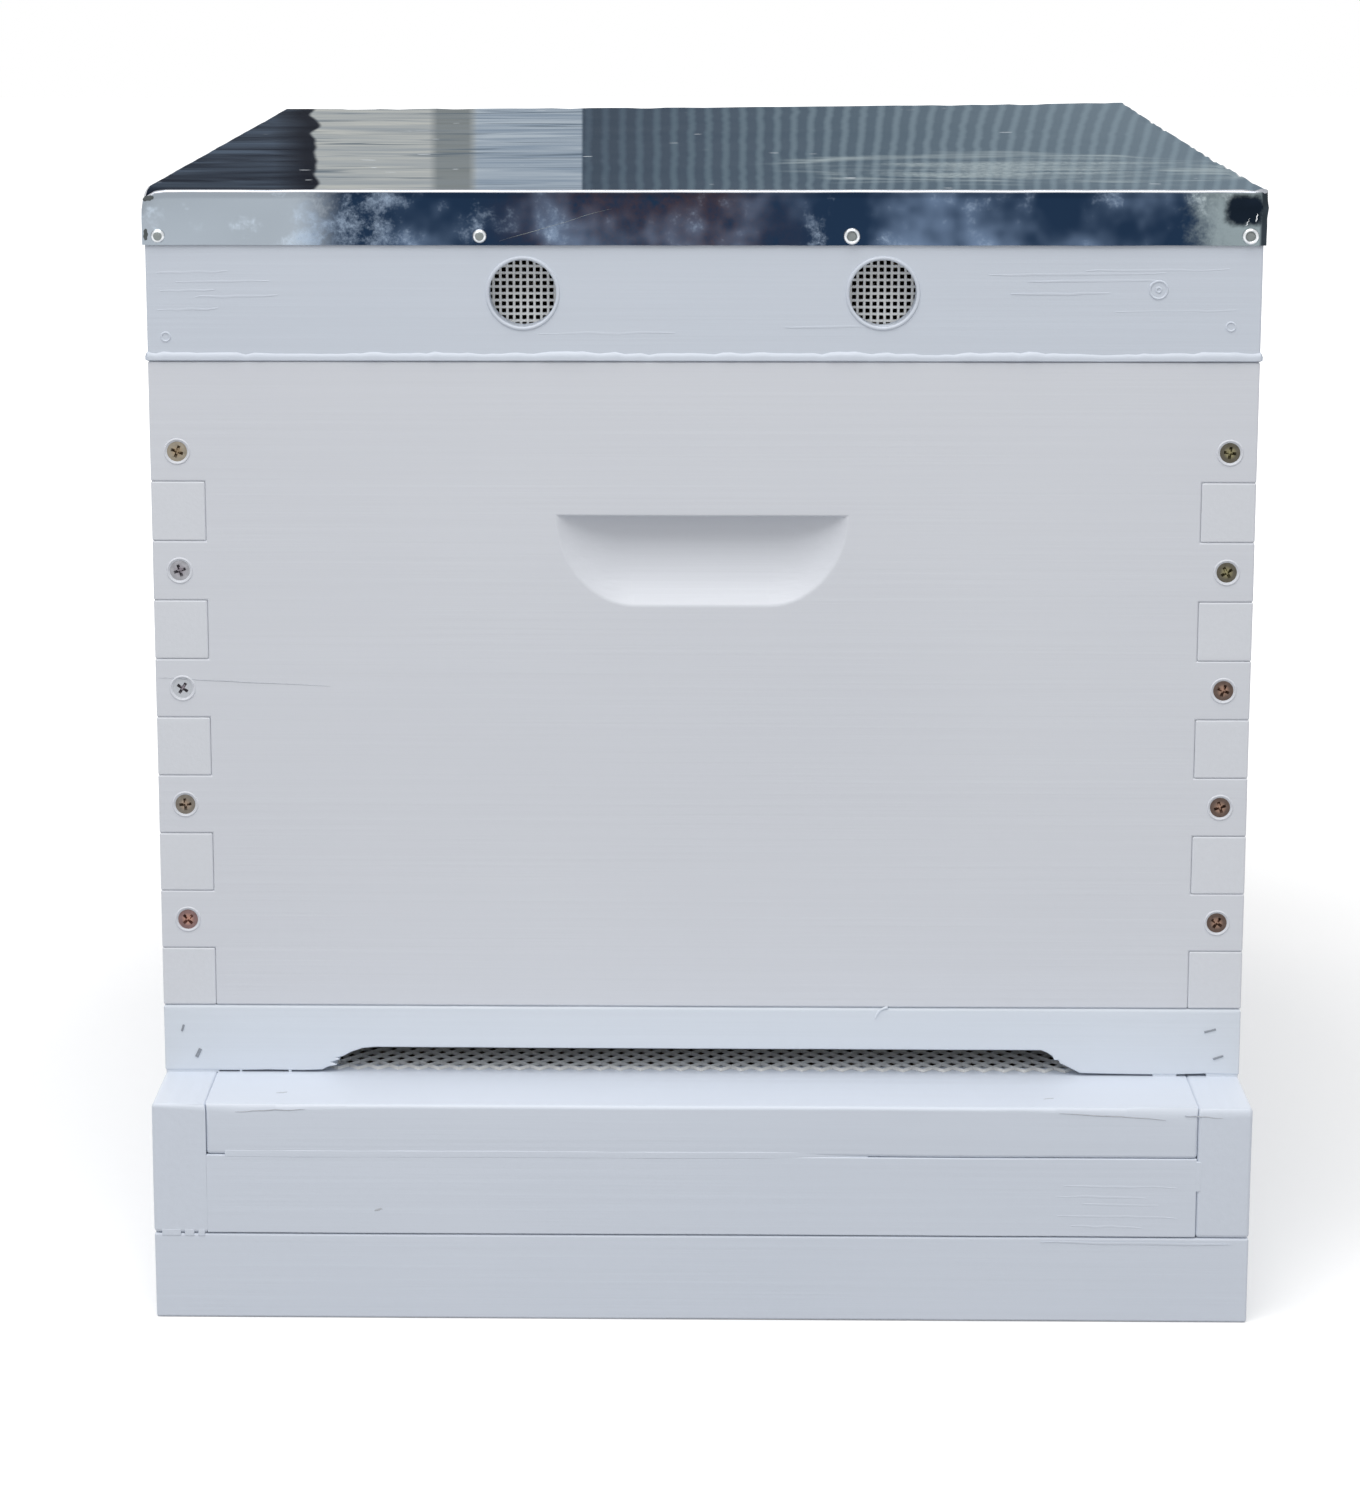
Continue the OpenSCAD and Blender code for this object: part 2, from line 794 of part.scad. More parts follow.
module metal_cover() {
    in_lid() color(zinc) difference() {
        translate([0, 0, lid_top])
            folded_cap(box_w + 2 * cover_out, box_l + 2 * cover_out, skirt_h, cover_out);
        translate([0, 0, lid_top - cover_t])
            folded_cap(box_w + 2 * cover_gap, box_l + 2 * cover_gap, skirt_h, cover_gap);
        at_clouts() clout_bore();
    }
}

module cover_clouts() {
    in_lid() at_clouts() clout();
}

module vent_mesh(end_turn, side) {
    reach = floor(vent_d / vent_pitch / 2) + 1;
    in_lid() color(mesh_grey) rotate(end_turn)
        translate([side * vent_span / 2, lid_board_t - box_l / 2 + mesh_t, vent_z])
            rotate([90, 0, 0]) linear_extrude(mesh_t) difference() {
                square(vent_patch, center = true);
                for (i = [-reach:reach], k = [-reach:reach])
                    if (norm([i, k]) * vent_pitch < (vent_d + vent_pitch) / 2)
                        translate([i, k] * vent_pitch) square(vent_pitch - vent_wire, center = true);
            }
}

stand_front();
stand_back();
stand_side(-1);  // stand_left
stand_side(1);  // stand_right
stand_nails();
floor_rail(-1);  // floor_rail_left
floor_rail(1);  // floor_rail_right
front_board();
landing_board();
floor_back_bar();
floor_mesh();
entrance_bar();
rim_side(-1);  // rim_left
rim_side(1);  // rim_right
rim_back();
floor_nails();
tray_board();
tray_handle();
box_front();
box_back();
box_left();
box_right();
box_screws();
for (k = [1:frame_count]) {
    hive_frame(k);
    foundation(k);
}
lid_front();
lid_back();
lid_side(-1);  // lid_left
lid_side(1);  // lid_right
lid_nails();
lid_panel();
metal_cover();
cover_clouts();
vent_mesh(0, -1);  // vent_mesh_front_left
vent_mesh(0, 1);  // vent_mesh_front_right
vent_mesh(180, 1);  // vent_mesh_back_left
vent_mesh(180, -1);  // vent_mesh_back_right
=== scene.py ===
import functools
import math

import bmesh
import bpy
from mathutils import Matrix, Vector, noise


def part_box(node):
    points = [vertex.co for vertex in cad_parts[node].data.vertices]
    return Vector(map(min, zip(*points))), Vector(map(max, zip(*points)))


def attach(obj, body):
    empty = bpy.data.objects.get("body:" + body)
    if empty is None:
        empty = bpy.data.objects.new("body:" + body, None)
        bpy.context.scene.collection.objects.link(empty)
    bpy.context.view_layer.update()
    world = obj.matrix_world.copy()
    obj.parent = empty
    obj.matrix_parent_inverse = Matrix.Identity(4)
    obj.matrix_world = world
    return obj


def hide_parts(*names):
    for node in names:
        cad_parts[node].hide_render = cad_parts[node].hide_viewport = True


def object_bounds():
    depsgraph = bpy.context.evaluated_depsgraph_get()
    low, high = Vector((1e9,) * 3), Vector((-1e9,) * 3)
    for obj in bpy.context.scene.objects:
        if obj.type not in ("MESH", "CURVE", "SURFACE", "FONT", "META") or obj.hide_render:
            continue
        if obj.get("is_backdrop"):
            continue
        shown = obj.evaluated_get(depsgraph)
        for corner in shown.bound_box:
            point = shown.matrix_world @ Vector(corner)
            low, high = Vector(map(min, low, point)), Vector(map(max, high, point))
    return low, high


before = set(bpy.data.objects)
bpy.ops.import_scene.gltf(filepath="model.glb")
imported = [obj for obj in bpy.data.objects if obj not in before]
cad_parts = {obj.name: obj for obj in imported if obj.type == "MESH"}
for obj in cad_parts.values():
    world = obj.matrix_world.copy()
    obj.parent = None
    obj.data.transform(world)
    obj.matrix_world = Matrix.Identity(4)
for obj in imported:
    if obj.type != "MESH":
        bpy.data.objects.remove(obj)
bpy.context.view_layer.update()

# Stand: four sawn pine boards, butted and nailed into a ring that keeps the floor off the ground.
# Thick white house paint, brushed along the grain over the nail heads, has rounded every edge.


def tint(code):
    """Linear colour of an sRGB hex code."""
    parts = [int(code[i:i + 2], 16) / 255 for i in (1, 3, 5)]
    return [p / 12.92 if p <= 0.04045 else ((p + 0.055) / 1.055) ** 2.4 for p in parts] + [1.0]


def node(tree, kind, inputs, **settings):
    """Adds a shader node, with each input a value or the socket it is linked from, and gives its outputs."""
    made = tree.nodes.new("ShaderNode" + kind)
    for name, value in settings.items():
        setattr(made, name, value)
    for socket, value in inputs.items():
        if isinstance(value, bpy.types.NodeSocket):
            tree.links.new(value, made.inputs[socket])
        else:
            made.inputs[socket].default_value = value
    return made.outputs


def new_material(name):
    """An empty node material, with what adds a node to it and its object coordinates."""
    made = bpy.data.materials.new(name)
    made.use_nodes = True
    made.node_tree.nodes.clear()
    add = functools.partial(node, made.node_tree)
    return made, add, add("TexCoord", {})["Object"]


def house_paint(name, colour, shade, strokes):
    """Satin white paint: soft clouds where it lies thicker, and brush strokes as long as given in mm."""
    made, add, place = new_material(name)
    cloud = add("TexNoise", {"Vector": place, "Scale": 1000 / 140, "Detail": 2.0})["Fac"]
    along = add("Mapping", {"Vector": place, "Scale": [1000 / s for s in strokes]})[0]
    brush = add("TexNoise", {"Vector": along, "Scale": 1.0, "Detail": 4.0, "Roughness": 0.62})["Fac"]
    tone = add("Mix", {0: cloud, 6: tint(colour), 7: tint(shade)}, data_type="RGBA")[2]
    streak = add("MapRange", {0: brush, 1: 0.3, 2: 0.7, 3: 0.972, 4: 1.0})[0]
    toned = add("Mix", {0: 1.0, 6: tone, 7: streak}, data_type="RGBA", blend_type="MULTIPLY")[2]
    gloss = add("MapRange", {0: brush, 1: 0.3, 2: 0.7, 3: 0.36, 4: 0.5})[0]
    bump = add("Bump", {"Strength": 0.22, "Distance": 0.0004, "Height": brush})[0]
    paint = add("BsdfPrincipled", {"Base Color": toned, "Roughness": gloss, "Normal": bump})[0]
    add("OutputMaterial", {"Surface": paint})
    return made


def mottled(name, colour, shade, patch, metallic, roughness):
    """A plain finish that wanders between two colours, in patches as wide as given in mm."""
    made, add, place = new_material(name)
    patches = add("TexNoise", {"Vector": place, "Scale": 1000 / patch, "Detail": 3.0})["Fac"]
    tone = add("Mix", {0: patches, 6: tint(colour), 7: tint(shade)}, data_type="RGBA")[2]
    finish = add("BsdfPrincipled", {"Base Color": tone, "Metallic": metallic, "Roughness": roughness})[0]
    add("OutputMaterial", {"Surface": finish})
    return made


def extent(name):
    """Lowest and highest corner of a CAD node in millimetres."""
    low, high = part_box(name)
    return low * 1000, high * 1000


def slice_up(bm, pitch):
    """Cuts a mesh across into pieces about as long as the pitch, so that it can waver."""
    spots = [v.co.copy() for v in bm.verts]
    for axis in range(3):
        start, end = min(p[axis] for p in spots), max(p[axis] for p in spots)
        count = round((end - start) / pitch)
        across = Vector([float(axis == k) for k in range(3)])
        for k in range(1, count):
            geom = bm.verts[:] + bm.edges[:] + bm.faces[:]
            spot = across * (start + (end - start) * k / count)
            bmesh.ops.bisect_plane(bm, geom=geom, dist=1e-4, plane_co=spot, plane_no=across)


def bevel(bm, edges, width, steps):
    """Rounds the edges given, in a number of steps."""
    how = {"affect": "EDGES", "offset_type": "OFFSET", "profile": 0.5, "material": -1}
    return bmesh.ops.bevel(bm, geom=edges, offset=width, segments=steps, **how)


def ease(bm, soft, sealed=None):
    """Rounds the sharp edges of a board, apart from the rims of bores and the edges that paint has sealed."""
    sharp = [e for e in bm.edges if e.is_manifold and e.calc_face_angle() > 0.55]
    sharp = [e for e in sharp if e.calc_length() > 1.2]
    if sealed:
        sharp = [e for e in sharp if not sealed((e.verts[0].co + e.verts[1].co) / 2)]
    bevel(bm, sharp, soft, 3)


# What noise_vector gives hangs on this seed, so that the boards waver the same in every run
noise.seed_set(1)


def waver(bm, depth):
    """Moves the surface of a board in and out a little, the same wherever two boards meet."""
    for v in bm.verts:
        v.co += depth * (noise.noise_vector(v.co * 0.018) + 0.4 * noise.noise_vector(v.co * 0.075))


def block(bm, low, high):
    """Adds a box between two corners to a mesh."""
    size = Matrix.Diagonal((*(high - low), 1))
    bmesh.ops.create_cube(bm, size=1, matrix=Matrix.Translation((low + high) / 2) @ size)


def sawn(low, high, gap=0.12, soft=0.9, depth=0.14, sealed=None):
    """A sawn board in millimetres, with a hairline of space left round it."""
    bm = bmesh.new()
    block(bm, low + Vector((gap, gap, gap)), high - Vector((gap, gap, gap)))
    ease(bm, soft, sealed)
    slice_up(bm, 26)
    waver(bm, depth)
    return bm


def piece(name, bm, materials, body, slot, *nodes):
    """Makes an object of a mesh in millimetres, which rides on a body in place of the CAD nodes named."""
    bmesh.ops.scale(bm, vec=(0.001, 0.001, 0.001), verts=bm.verts)
    bmesh.ops.recalc_face_normals(bm, faces=bm.faces)
    for f in bm.faces:
        f.smooth = True
    for e in bm.edges:
        e.smooth = e.is_manifold and e.calc_face_angle() < 0.75
    mesh = bpy.data.meshes.new(name)
    bm.to_mesh(mesh)
    bm.free()
    for material in materials:
        mesh.materials.append(material)
    made = bpy.data.objects.new(name, mesh)
    bpy.context.scene.collection.objects.link(made)
    made.modifiers.new("even-shading", "WEIGHTED_NORMAL").keep_sharp = True
    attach(made, body)
    if nodes:
        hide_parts(*nodes)
    return made


def painted(name, bm, paint, body, *nodes):
    """A piece of painted pine, or of its paint."""
    return piece(name, bm, [paint], body, "painted_pine", *nodes)


def cad_copy(cad_node):
    """The mesh of a CAD node in millimetres, with its triangles joined."""
    bm = bmesh.new()
    bm.from_mesh(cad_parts[cad_node].data)
    bmesh.ops.scale(bm, vec=(1000, 1000, 1000), verts=bm.verts)
    bmesh.ops.remove_doubles(bm, verts=bm.verts, dist=0.01)
    return bm


def sunk_nails(name, cad_node, body):
    """The nails of a CAD node, punched a little below the paint."""
    bm = cad_copy(cad_node)
    bmesh.ops.scale(bm, vec=(0.998, 0.998, 1), verts=bm.verts)
    return piece(name, bm, [nail_steel], body, "nail_steel", cad_node)


# Cool white paint with brush strokes along the boards, which catch the light as faint streaks
floor_paint_across = house_paint("house-paint-floor-across", "#d9dfe9", "#d2d9e4", (240, 2.6, 2.6))
floor_paint_along = house_paint("house-paint-floor-along", "#d9dfe9", "#d2d9e4", (2.6, 240, 2.6))

# Dull bright steel, which only shows where a nail hole has lost its paint. The drawn wire's own mottling
# is too fine to show, so it is drawn about 1 mm wide.
nail_steel = mottled("nail-steel", "#c9ced6", "#aab0b8", 1.11, 0.6, 0.5)

for side in ("front", "back", "left", "right"):
    paint = floor_paint_across if side in ("front", "back") else floor_paint_along
    painted(f"stand-board-{side}", sawn(*extent(f"stand_{side}")), paint, "floor", f"stand_{side}")
sunk_nails("stand-nails", "stand_nails", "floor")

# Floor rails: two long pine boards on edge, grooved inside for the tray, with their sawn ends at the front.
# The other floor boards are nailed between them. Paint has run into the lower half of the joint beside the
# left rail and closed it, and it fills most of the joint under the rails' front ends.


def eased_copy(cad_node, soft, depth, pitch=26, sealed=None):
    """A CAD board in millimetres with its edges rounded."""
    bm = cad_copy(cad_node)
    ease(bm, soft, sealed)
    slice_up(bm, pitch)
    waver(bm, depth)
    return bm


landing_low, landing_high = extent("landing_board")


def filled_joint(spot):
    """Whether paint has closed the joint between a rail and the boards beside it at this spot."""
    within, filled_to, open_nose = 0.5, 45, 2
    beside = abs(abs(spot.x) - landing_high.x) < within and spot.y < landing_low.y + filled_to
    on_top = spot.z > landing_high.z - within and spot.y > landing_low.y + open_nose
    return beside and (on_top or (spot.z < landing_low.z and spot.x < 0))


def worn_nose(bm):
    """Rolls the front edge of the landing further down where hands and hive tools have worn it."""
    right_from, right_over, rail_share = 120, 60, 0.6
    left_middle, left_spread, left_share = -168, 22, 0.7
    steepness = 2.2
    for v in bm.verts:
        below = landing_high.z - v.co.z
        if 0 < below < 2 and v.co.y < landing_low.y + 1:
            right = min(max((v.co.x - right_from) / right_over, 0), 1)
            if v.co.x >= landing_high.x:
                right = rail_share
            left = left_share * math.exp(-(((v.co.x - left_middle) / left_spread) ** 2))
            v.co.z -= steepness * below * (right + left)


for side in ("left", "right"):
    rail = eased_copy(f"floor_rail_{side}", 1.5, 0.2, sealed=filled_joint)
    worn_nose(rail)
    painted(f"floor-rail-{side}", rail, floor_paint_along, "floor", f"floor_rail_{side}")
rail_low = extent("floor_rail_left")[0]
under, over = rail_low.z - 1.1, rail_low.z + 1.5
fills = [
    (rail_low.x + 3, -193, under, over), (-191.5, -188, under, over),
    (-186.5, landing_low.x - 1, under, over),
    (landing_high.x - 0.6, landing_high.x + 1.7, rail_low.z + 18, landing_low.z - 1),
]
proud, inward = 0.05, 1.95
bm = bmesh.new()
for left, right, bottom, top in fills:
    block(bm, Vector((left, rail_low.y - proud, bottom)), Vector((right, rail_low.y + inward, top)))
ease(bm, 0.3)
waver(bm, 0.2)
painted("rail-joint-paint", bm, floor_paint_along, "floor")

# Front board, landing board and back bar: painted pine boards between the rails, nailed through them. The
# landing board's nose is worn down near both ends, and its back edge is planed away under the mesh. Its
# paint is chipped, and the brush has left ridges across the front board.

front_low, front_high = extent("front_board")
open_joint = Vector((0, 0, 0.3))
front_board = sawn(front_low + open_joint, front_high, gap=0.0, soft=0.45, sealed=filled_joint)
painted("front-board", front_board, floor_paint_across, "floor", "front_board")
tucked = Vector((0, 6, 0))
landing_board = sawn(landing_low, landing_high - tucked, gap=0.03, soft=1.5, depth=0.28, sealed=filled_joint)
slice_up(landing_board, 13)
worn_nose(landing_board)
painted("landing-board", landing_board, floor_paint_across, "floor", "landing_board")
fill_low = Vector((landing_low.x + 7, landing_low.y - 0.08, landing_low.z - 0.8))
fill_high = Vector((62, landing_low.y + 2, landing_low.z + 1.9))
fade_start, fade_in = 30, 0.7
joint_fill = sawn(fill_low, fill_high, gap=0.0, soft=0.3, depth=0.0)
slice_up(joint_fill, 13)
waver(joint_fill, 0.2)
for v in joint_fill.verts:
    v.co.y += fade_in * max(0, (v.co.x - fade_start) / (fill_high.x - fade_start))
painted("landing-joint-paint", joint_fill, floor_paint_across, "floor")
back_bar = sawn(*extent("floor_back_bar"))
painted("floor-back-bar", back_bar, floor_paint_across, "floor", "floor_back_bar")


def so_far(bm):
    """The vertices, edges and faces that a mesh has now, as sets."""
    return set(bm.verts), set(bm.edges), set(bm.faces)


def added(bm, before):
    """The vertices, edges and faces that a mesh has gained since it had those before."""
    return [[e for e in now if e not in old] for now, old in zip((bm.verts, bm.edges, bm.faces), before)]


def split(bm, start, end, width, out):
    """A ridge of paint or a filled split between two points, tapered to both ends and a little proud."""
    across = out.cross(end - start).normalized()
    before = so_far(bm)
    bmesh.ops.create_circle(bm, cap_ends=True, segments=4, radius=1)
    verts, edges, faces = added(bm, before)
    steps = 12
    step = Vector((0, 0, 1 / steps))
    bmesh.ops.spin(bm, geom=verts + edges + faces, cent=step, axis=step, dvec=step, angle=0, steps=steps)
    for v in added(bm, before)[0]:
        along = min(max(v.co.z, 0), 1)
        half = width * (0.12 + 0.38 * math.sin(math.pi * along) ** 0.5)
        spot = start.lerp(end, along) + across * 0.5 * noise.noise(Vector((4.44 * along, start.x, 0)))
        v.co = spot + across * half * v.co.x + out * v.co.y * (0.12 if v.co.y > 0 else 0.3)


# Grey dust that has settled in splits and chips, with the shade in them and along a worn crease painted in as
# well, a soft dark line to the eye. The dust is too fine to show, so it is drawn in 2 mm patches.
grime = mottled("grime", "#adb2ba", "#c6c9cf", 2.0, 0.0, 0.8)
nose, tread = landing_low.y, landing_high.z
forward, upward = (0, -1, 0), (0, 0, 1)
# The chips and the creases along the nose are grey slivers: dust and painted shade
chips = [
    ((-121, nose, 42.3), (-118, nose, 43.0), 0.9, forward),
    ((-158, nose + 14, tread), (-154, nose + 15, tread), 1.0, upward),
    ((127, nose + 11, tread), (131, nose + 12, tread), 1.0, upward),
    ((132, nose, 81.0), (171, nose, 78.8), 0.5, forward),
    ((-172, nose, 80.2), (-146, nose, 81.2), 0.45, forward),
    ((178, nose, 80.4), (192, nose, 79.4), 0.45, forward),
]
bm = bmesh.new()
for start, end, wide, out in chips:
    split(bm, Vector(start), Vector(end), wide, Vector(out))
waver(bm, 0.2)
painted("floor-chips", bm, grime, "floor")


def brush_ridges(ridges, face_y, foot, drift):
    """Ridges that the brush left on a front face, each given by X, height above the foot and length."""
    bm = bmesh.new()
    for x, rise, length in ridges:
        start = Vector((x, face_y, foot + rise))
        split(bm, start, start + Vector((length, 0, drift)), 1.1, Vector(forward))
    waver(bm, 0.12)
    return bm


strokes = [(134, 20, 42), (131, 16, 34), (141, 13, 28), (132, 8.4, 44), (137, 4.5, 26), (126, -1.9, 70)]
ridges = brush_ridges(strokes, nose, front_low.z, -0.5)
painted("floor-brush-ridges", ridges, floor_paint_across, "floor")

# Floor mesh: galvanised steel sheet, slit and expanded into small diamonds, and laid over the rails under
# the rim. Each strand is a zigzag ribbon, turned a little on edge, that touches its neighbours at the tips.

# Dull zinc with pale spots of oxide, which are drawn a little coarser than real so that they show. The whole
# mesh is painted near white, lighter than zinc, to make up for the shade it lies in.
mesh_steel = mottled("galvanised-mesh", "#f0f0ee", "#d4d4d1", 2.38, 0.1, 0.55)
low, high = extent("floor_mesh")
diamond_w, diamond_l, strand, twist = 7.65, 8.6, 1.35, 0.85
columns, rows = round((high.x - low.x) / diamond_w), round((high.y - low.y) / diamond_l)
pitch, sway = (high.x - low.x) / (2 * columns), 0.92 * diamond_l / 4
bm = bmesh.new()
for row in range(2 * rows):
    y = low.y + (high.y - low.y) * (row + 0.5) / (2 * rows)
    middle = Vector(((low.x + high.x) / 2, y, high.z - twist / 2))
    ribbon = Matrix.Translation(middle) @ Matrix.Diagonal(((high.x - low.x) / 2, strand / 2, 1, 1))
    for v in bmesh.ops.create_grid(bm, x_segments=2 * columns, y_segments=1, size=1, matrix=ribbon)["verts"]:
        knee = round((v.co.x - low.x) / pitch) + row
        v.co.z += math.copysign(twist / 2, v.co.y - y)
        v.co.y += sway * (1 if knee % 2 else -1)
screen = piece("floor-mesh", bm, [mesh_steel], "floor", "mesh_steel", "floor_mesh")
screen.modifiers.clear()
screen.modifiers.new("thickness", "SOLIDIFY").thickness = 0.0004

# Entrance bar and rim: a ring of pine strips, nailed down over the edge of the mesh, that the box stands on.
# The entrance was cut out of the bar by hand, so its sloping ends are torn, and paint has bridged parts of
# the slit under the bar.


def only(kind, geom):
    """What is of one kind, such as vertices, among what an operator gave back."""
    return [g for g in geom if isinstance(g, kind)]


def plate(outline, holes, front, thick):
    """A board cut to an outline in X and Z, with round holes through it, standing across Y."""
    bm = bmesh.new()
    corners = [bm.verts.new((x, front, z)) for x, z in outline]
    for pair in zip(corners, corners[1:] + corners[:1]):
        bm.edges.new(pair)
    for x, z, r in holes:
        upright = Matrix.Translation((x, front, z)) @ Matrix.Rotation(math.pi / 2, 4, "X")
        bmesh.ops.create_circle(bm, segments=48, radius=r, matrix=upright)
    filled = bmesh.ops.triangle_fill(bm, use_beauty=True, edges=bm.edges[:], normal=(0, -1, 0))
    grown = bmesh.ops.extrude_face_region(bm, geom=only(bmesh.types.BMFace, filled["geom"]))
    bmesh.ops.translate(bm, verts=only(bmesh.types.BMVert, grown["geom"]), vec=(0, thick, 0))
    bmesh.ops.recalc_face_normals(bm, faces=bm.faces)
    return bm


# The same paint, painted a shade whiter on the bar for the light that the landing throws up onto it
bar_paint_lighter = house_paint("house-paint-bar", "#dee4ec", "#d7dee7", (240, 2.6, 2.6))
low, high = extent("entrance_bar")
slit_z = low.z
left_tear = [(-143.3, 0), (-141.0, 1.2), (-137.4, 1.9), (-139.8, 3.0), (-136.2, 4.1), (-137.6, 4.7)]
left_round = [(-135.2, 5.4), (-132.3, 7.0), (-127.9, 8.5), (-122.9, 9.0)]
right_round = [(128.4, 8.9), (130.6, 8.0), (132.8, 6.5)]
right_tear = [(133.4, 4.9), (135.0, 5.1), (135.4, 3.8), (136.9, 3.2), (143.1, 0)]
cut = left_tear + left_round + right_round + right_tear
foot_edge = [(low.x, slit_z), *[(x, slit_z + z) for x, z in cut], (high.x, slit_z)]
outline = foot_edge + [(high.x, high.z), (low.x, high.z)]
bar = plate(outline, [], low.y, high.y - low.y)
top_edges = [e for e in bar.edges if min(v.co.z for v in e.verts) > high.z - 0.01]
bevel(bar, top_edges, 1.5, 4)
ease(bar, 0.6)
slice_up(bar, 13)
waver(bar, 0.16)
# Paint hangs unevenly from the foot of the bar on both sides of the entrance
for v in bar.verts:
    if v.co.z < slit_z + 0.7 and abs(v.co.x) > 146:
        v.co.z -= 0.22 + 0.5 * noise.noise(v.co * 0.11)
painted("entrance-bar", bar, bar_paint_lighter, "floor", "entrance_bar")
for side in ("back", "left", "right"):
    paint = floor_paint_across if side == "back" else floor_paint_along
    painted(f"rim-{side}", sawn(*extent(f"rim_{side}")), paint, "floor", f"rim_{side}")
sunk_nails("floor-nails", "floor_nails", "floor")

# Dark steel under a thin smear of paint, grey strokes to the eye, with the smear's patches about 1 mm wide
brad_steel = mottled("brad-steel", "#a2a8b0", "#777c84", 1.11, 0.3, 0.5)
brads = [
    (-195.9, 100.3, 0.3, 0.8, 2.6), (-190.2, 90.5, 0.45, 1.3, 3.6),
    (191.6, 101.0, 1.3, 0.8, 4.4), (194.9, 90.6, 1.25, 0.8, 4.0),
]
bm = bmesh.new()
for x, z, slant, wide, long in brads:
    stroke = Matrix.Translation((x, low.y - 0.05, z)) @ Matrix.Rotation(slant, 4, "Y")
    bmesh.ops.create_cube(bm, size=1, matrix=stroke @ Matrix.Diagonal((wide, 0.5, long, 1)))
ease(bm, 0.2)
waver(bm, 0.2)
piece("bar-brads", bm, [brad_steel], "floor", "nail_steel")

# A thin run of paint curls down the bar's face from the joint above it
run_r, run_bend = 0.5, 5
run = bmesh.new()
bmesh.ops.create_circle(
    run, cap_ends=True, segments=8, radius=run_r, matrix=Matrix.Translation((run_bend, 0, 0))
)
drop = run.verts[:] + run.edges[:] + run.faces[:]
bmesh.ops.spin(run, geom=drop, axis=(0, 1, 0), cent=(0, 0, 0), steps=12, angle=1.3)
bmesh.ops.rotate(run, matrix=Matrix.Rotation(math.radians(190), 3, "Y"), cent=(0, 0, 0), verts=run.verts)
bmesh.ops.translate(run, vec=(70.8, low.y + 0.1, high.z - run_bend), verts=run.verts)
painted("paint-run", run, bar_paint_lighter, "floor")

bridges = [(-202.6, -182.6), (-174.8, -173.8), (-156.2, -155.0), (170.5, 179.5), (190.6, 202.6)]
bm = bmesh.new()
for start, end in bridges:
    block(bm, Vector((start, low.y + 0.3, slit_z - 1.35)), Vector((end, low.y + 4.9, slit_z + 0.35)))
ease(bm, 0.35)
waver(bm, 0.15)
painted("paint-bridges", bm, bar_paint_lighter, "floor")

# Tray: a sheet of hardboard that catches what falls through the mesh. It slides in the rail grooves from
# behind, and is glued into a painted pine bar with a finger notch.


def dress(cad_node, material):
    """Gives a CAD node, which keeps its own mesh, a material."""
    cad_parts[cad_node].data.materials.clear()
    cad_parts[cad_node].data.materials.append(material)


hardboard, add, place = new_material("hardboard")
# Dark pressed fibre with short pale flecks, 1.5 mm long, and 60 mm stains of what fell on it
fibres = {"Vector": place, "Scale": 1000 / 1.54, "Detail": 5.0, "Roughness": 0.7}
fibre = add("TexNoise", fibres)["Fac"]
stains = {"Vector": place, "Scale": 1000 / 60, "Detail": 4.0, "Roughness": 0.65}
stained = add("TexNoise", stains)["Fac"]
stain = add("MapRange", {0: stained, 1: 0.4, 2: 0.7, 3: 0.0, 4: 0.6})[0]
flecked = add("Mix", {0: fibre, 6: tint("#5d4330"), 7: tint("#8f6f4f")}, data_type="RGBA")[2]
brown = add("Mix", {0: stain, 6: flecked, 7: tint("#4b3527")}, data_type="RGBA")[2]
press = add("Bump", {"Strength": 0.3, "Distance": 0.0003, "Height": fibre})[0]
pressed = add("BsdfPrincipled", {"Base Color": brown, "Roughness": 0.6, "Normal": press})[0]
add("OutputMaterial", {"Surface": pressed})
dress("tray_board", hardboard)
handle = eased_copy("tray_handle", 0.8, 0.1)
painted("tray-handle", handle, floor_paint_across, "tray", "tray_handle")

# Brood box: four planed pine boards, finger-jointed and glued, with hand holds scooped by a cutter wheel.
# The paint has cracked in a line that runs in from one finger joint on the left.

# A warmer white than on the floor, with finer strokes. On the side boards it is painted a shade lighter, as
# painted light that lifts their finger ends to the tone of the front.
box_paint_across = house_paint("house-paint-box-across", "#dbdee4", "#d5d8df", (300, 2.2, 2.2))
box_paint_along = house_paint("house-paint-box-along", "#dfe2e8", "#d7dae0", (1.6, 300, 1.6))
for side in ("front", "back", "left", "right"):
    paint = box_paint_across if side in ("front", "back") else box_paint_along
    painted(f"box-board-{side}", eased_copy(f"box_{side}", 0.7, 0.1), paint, "brood_box", f"box_{side}")

face_y = extent("box_front")[0].y
# The crack is a grey sliver laid on the face: its dust and painted shade
bm = bmesh.new()
split(bm, Vector((-202, face_y, 235.4)), Vector((-138, face_y, 232.5)), 0.4, Vector(forward))
waver(bm, 0.1)
painted("box-crack", bm, grime, "brood_box")

# Box screws: countersunk steel screws with a cross recess, driven through the fingers from the front and the
# back. Zinc and copper finishes stand side by side, a low ring of paint lies round each head, and one head
# is painted over.


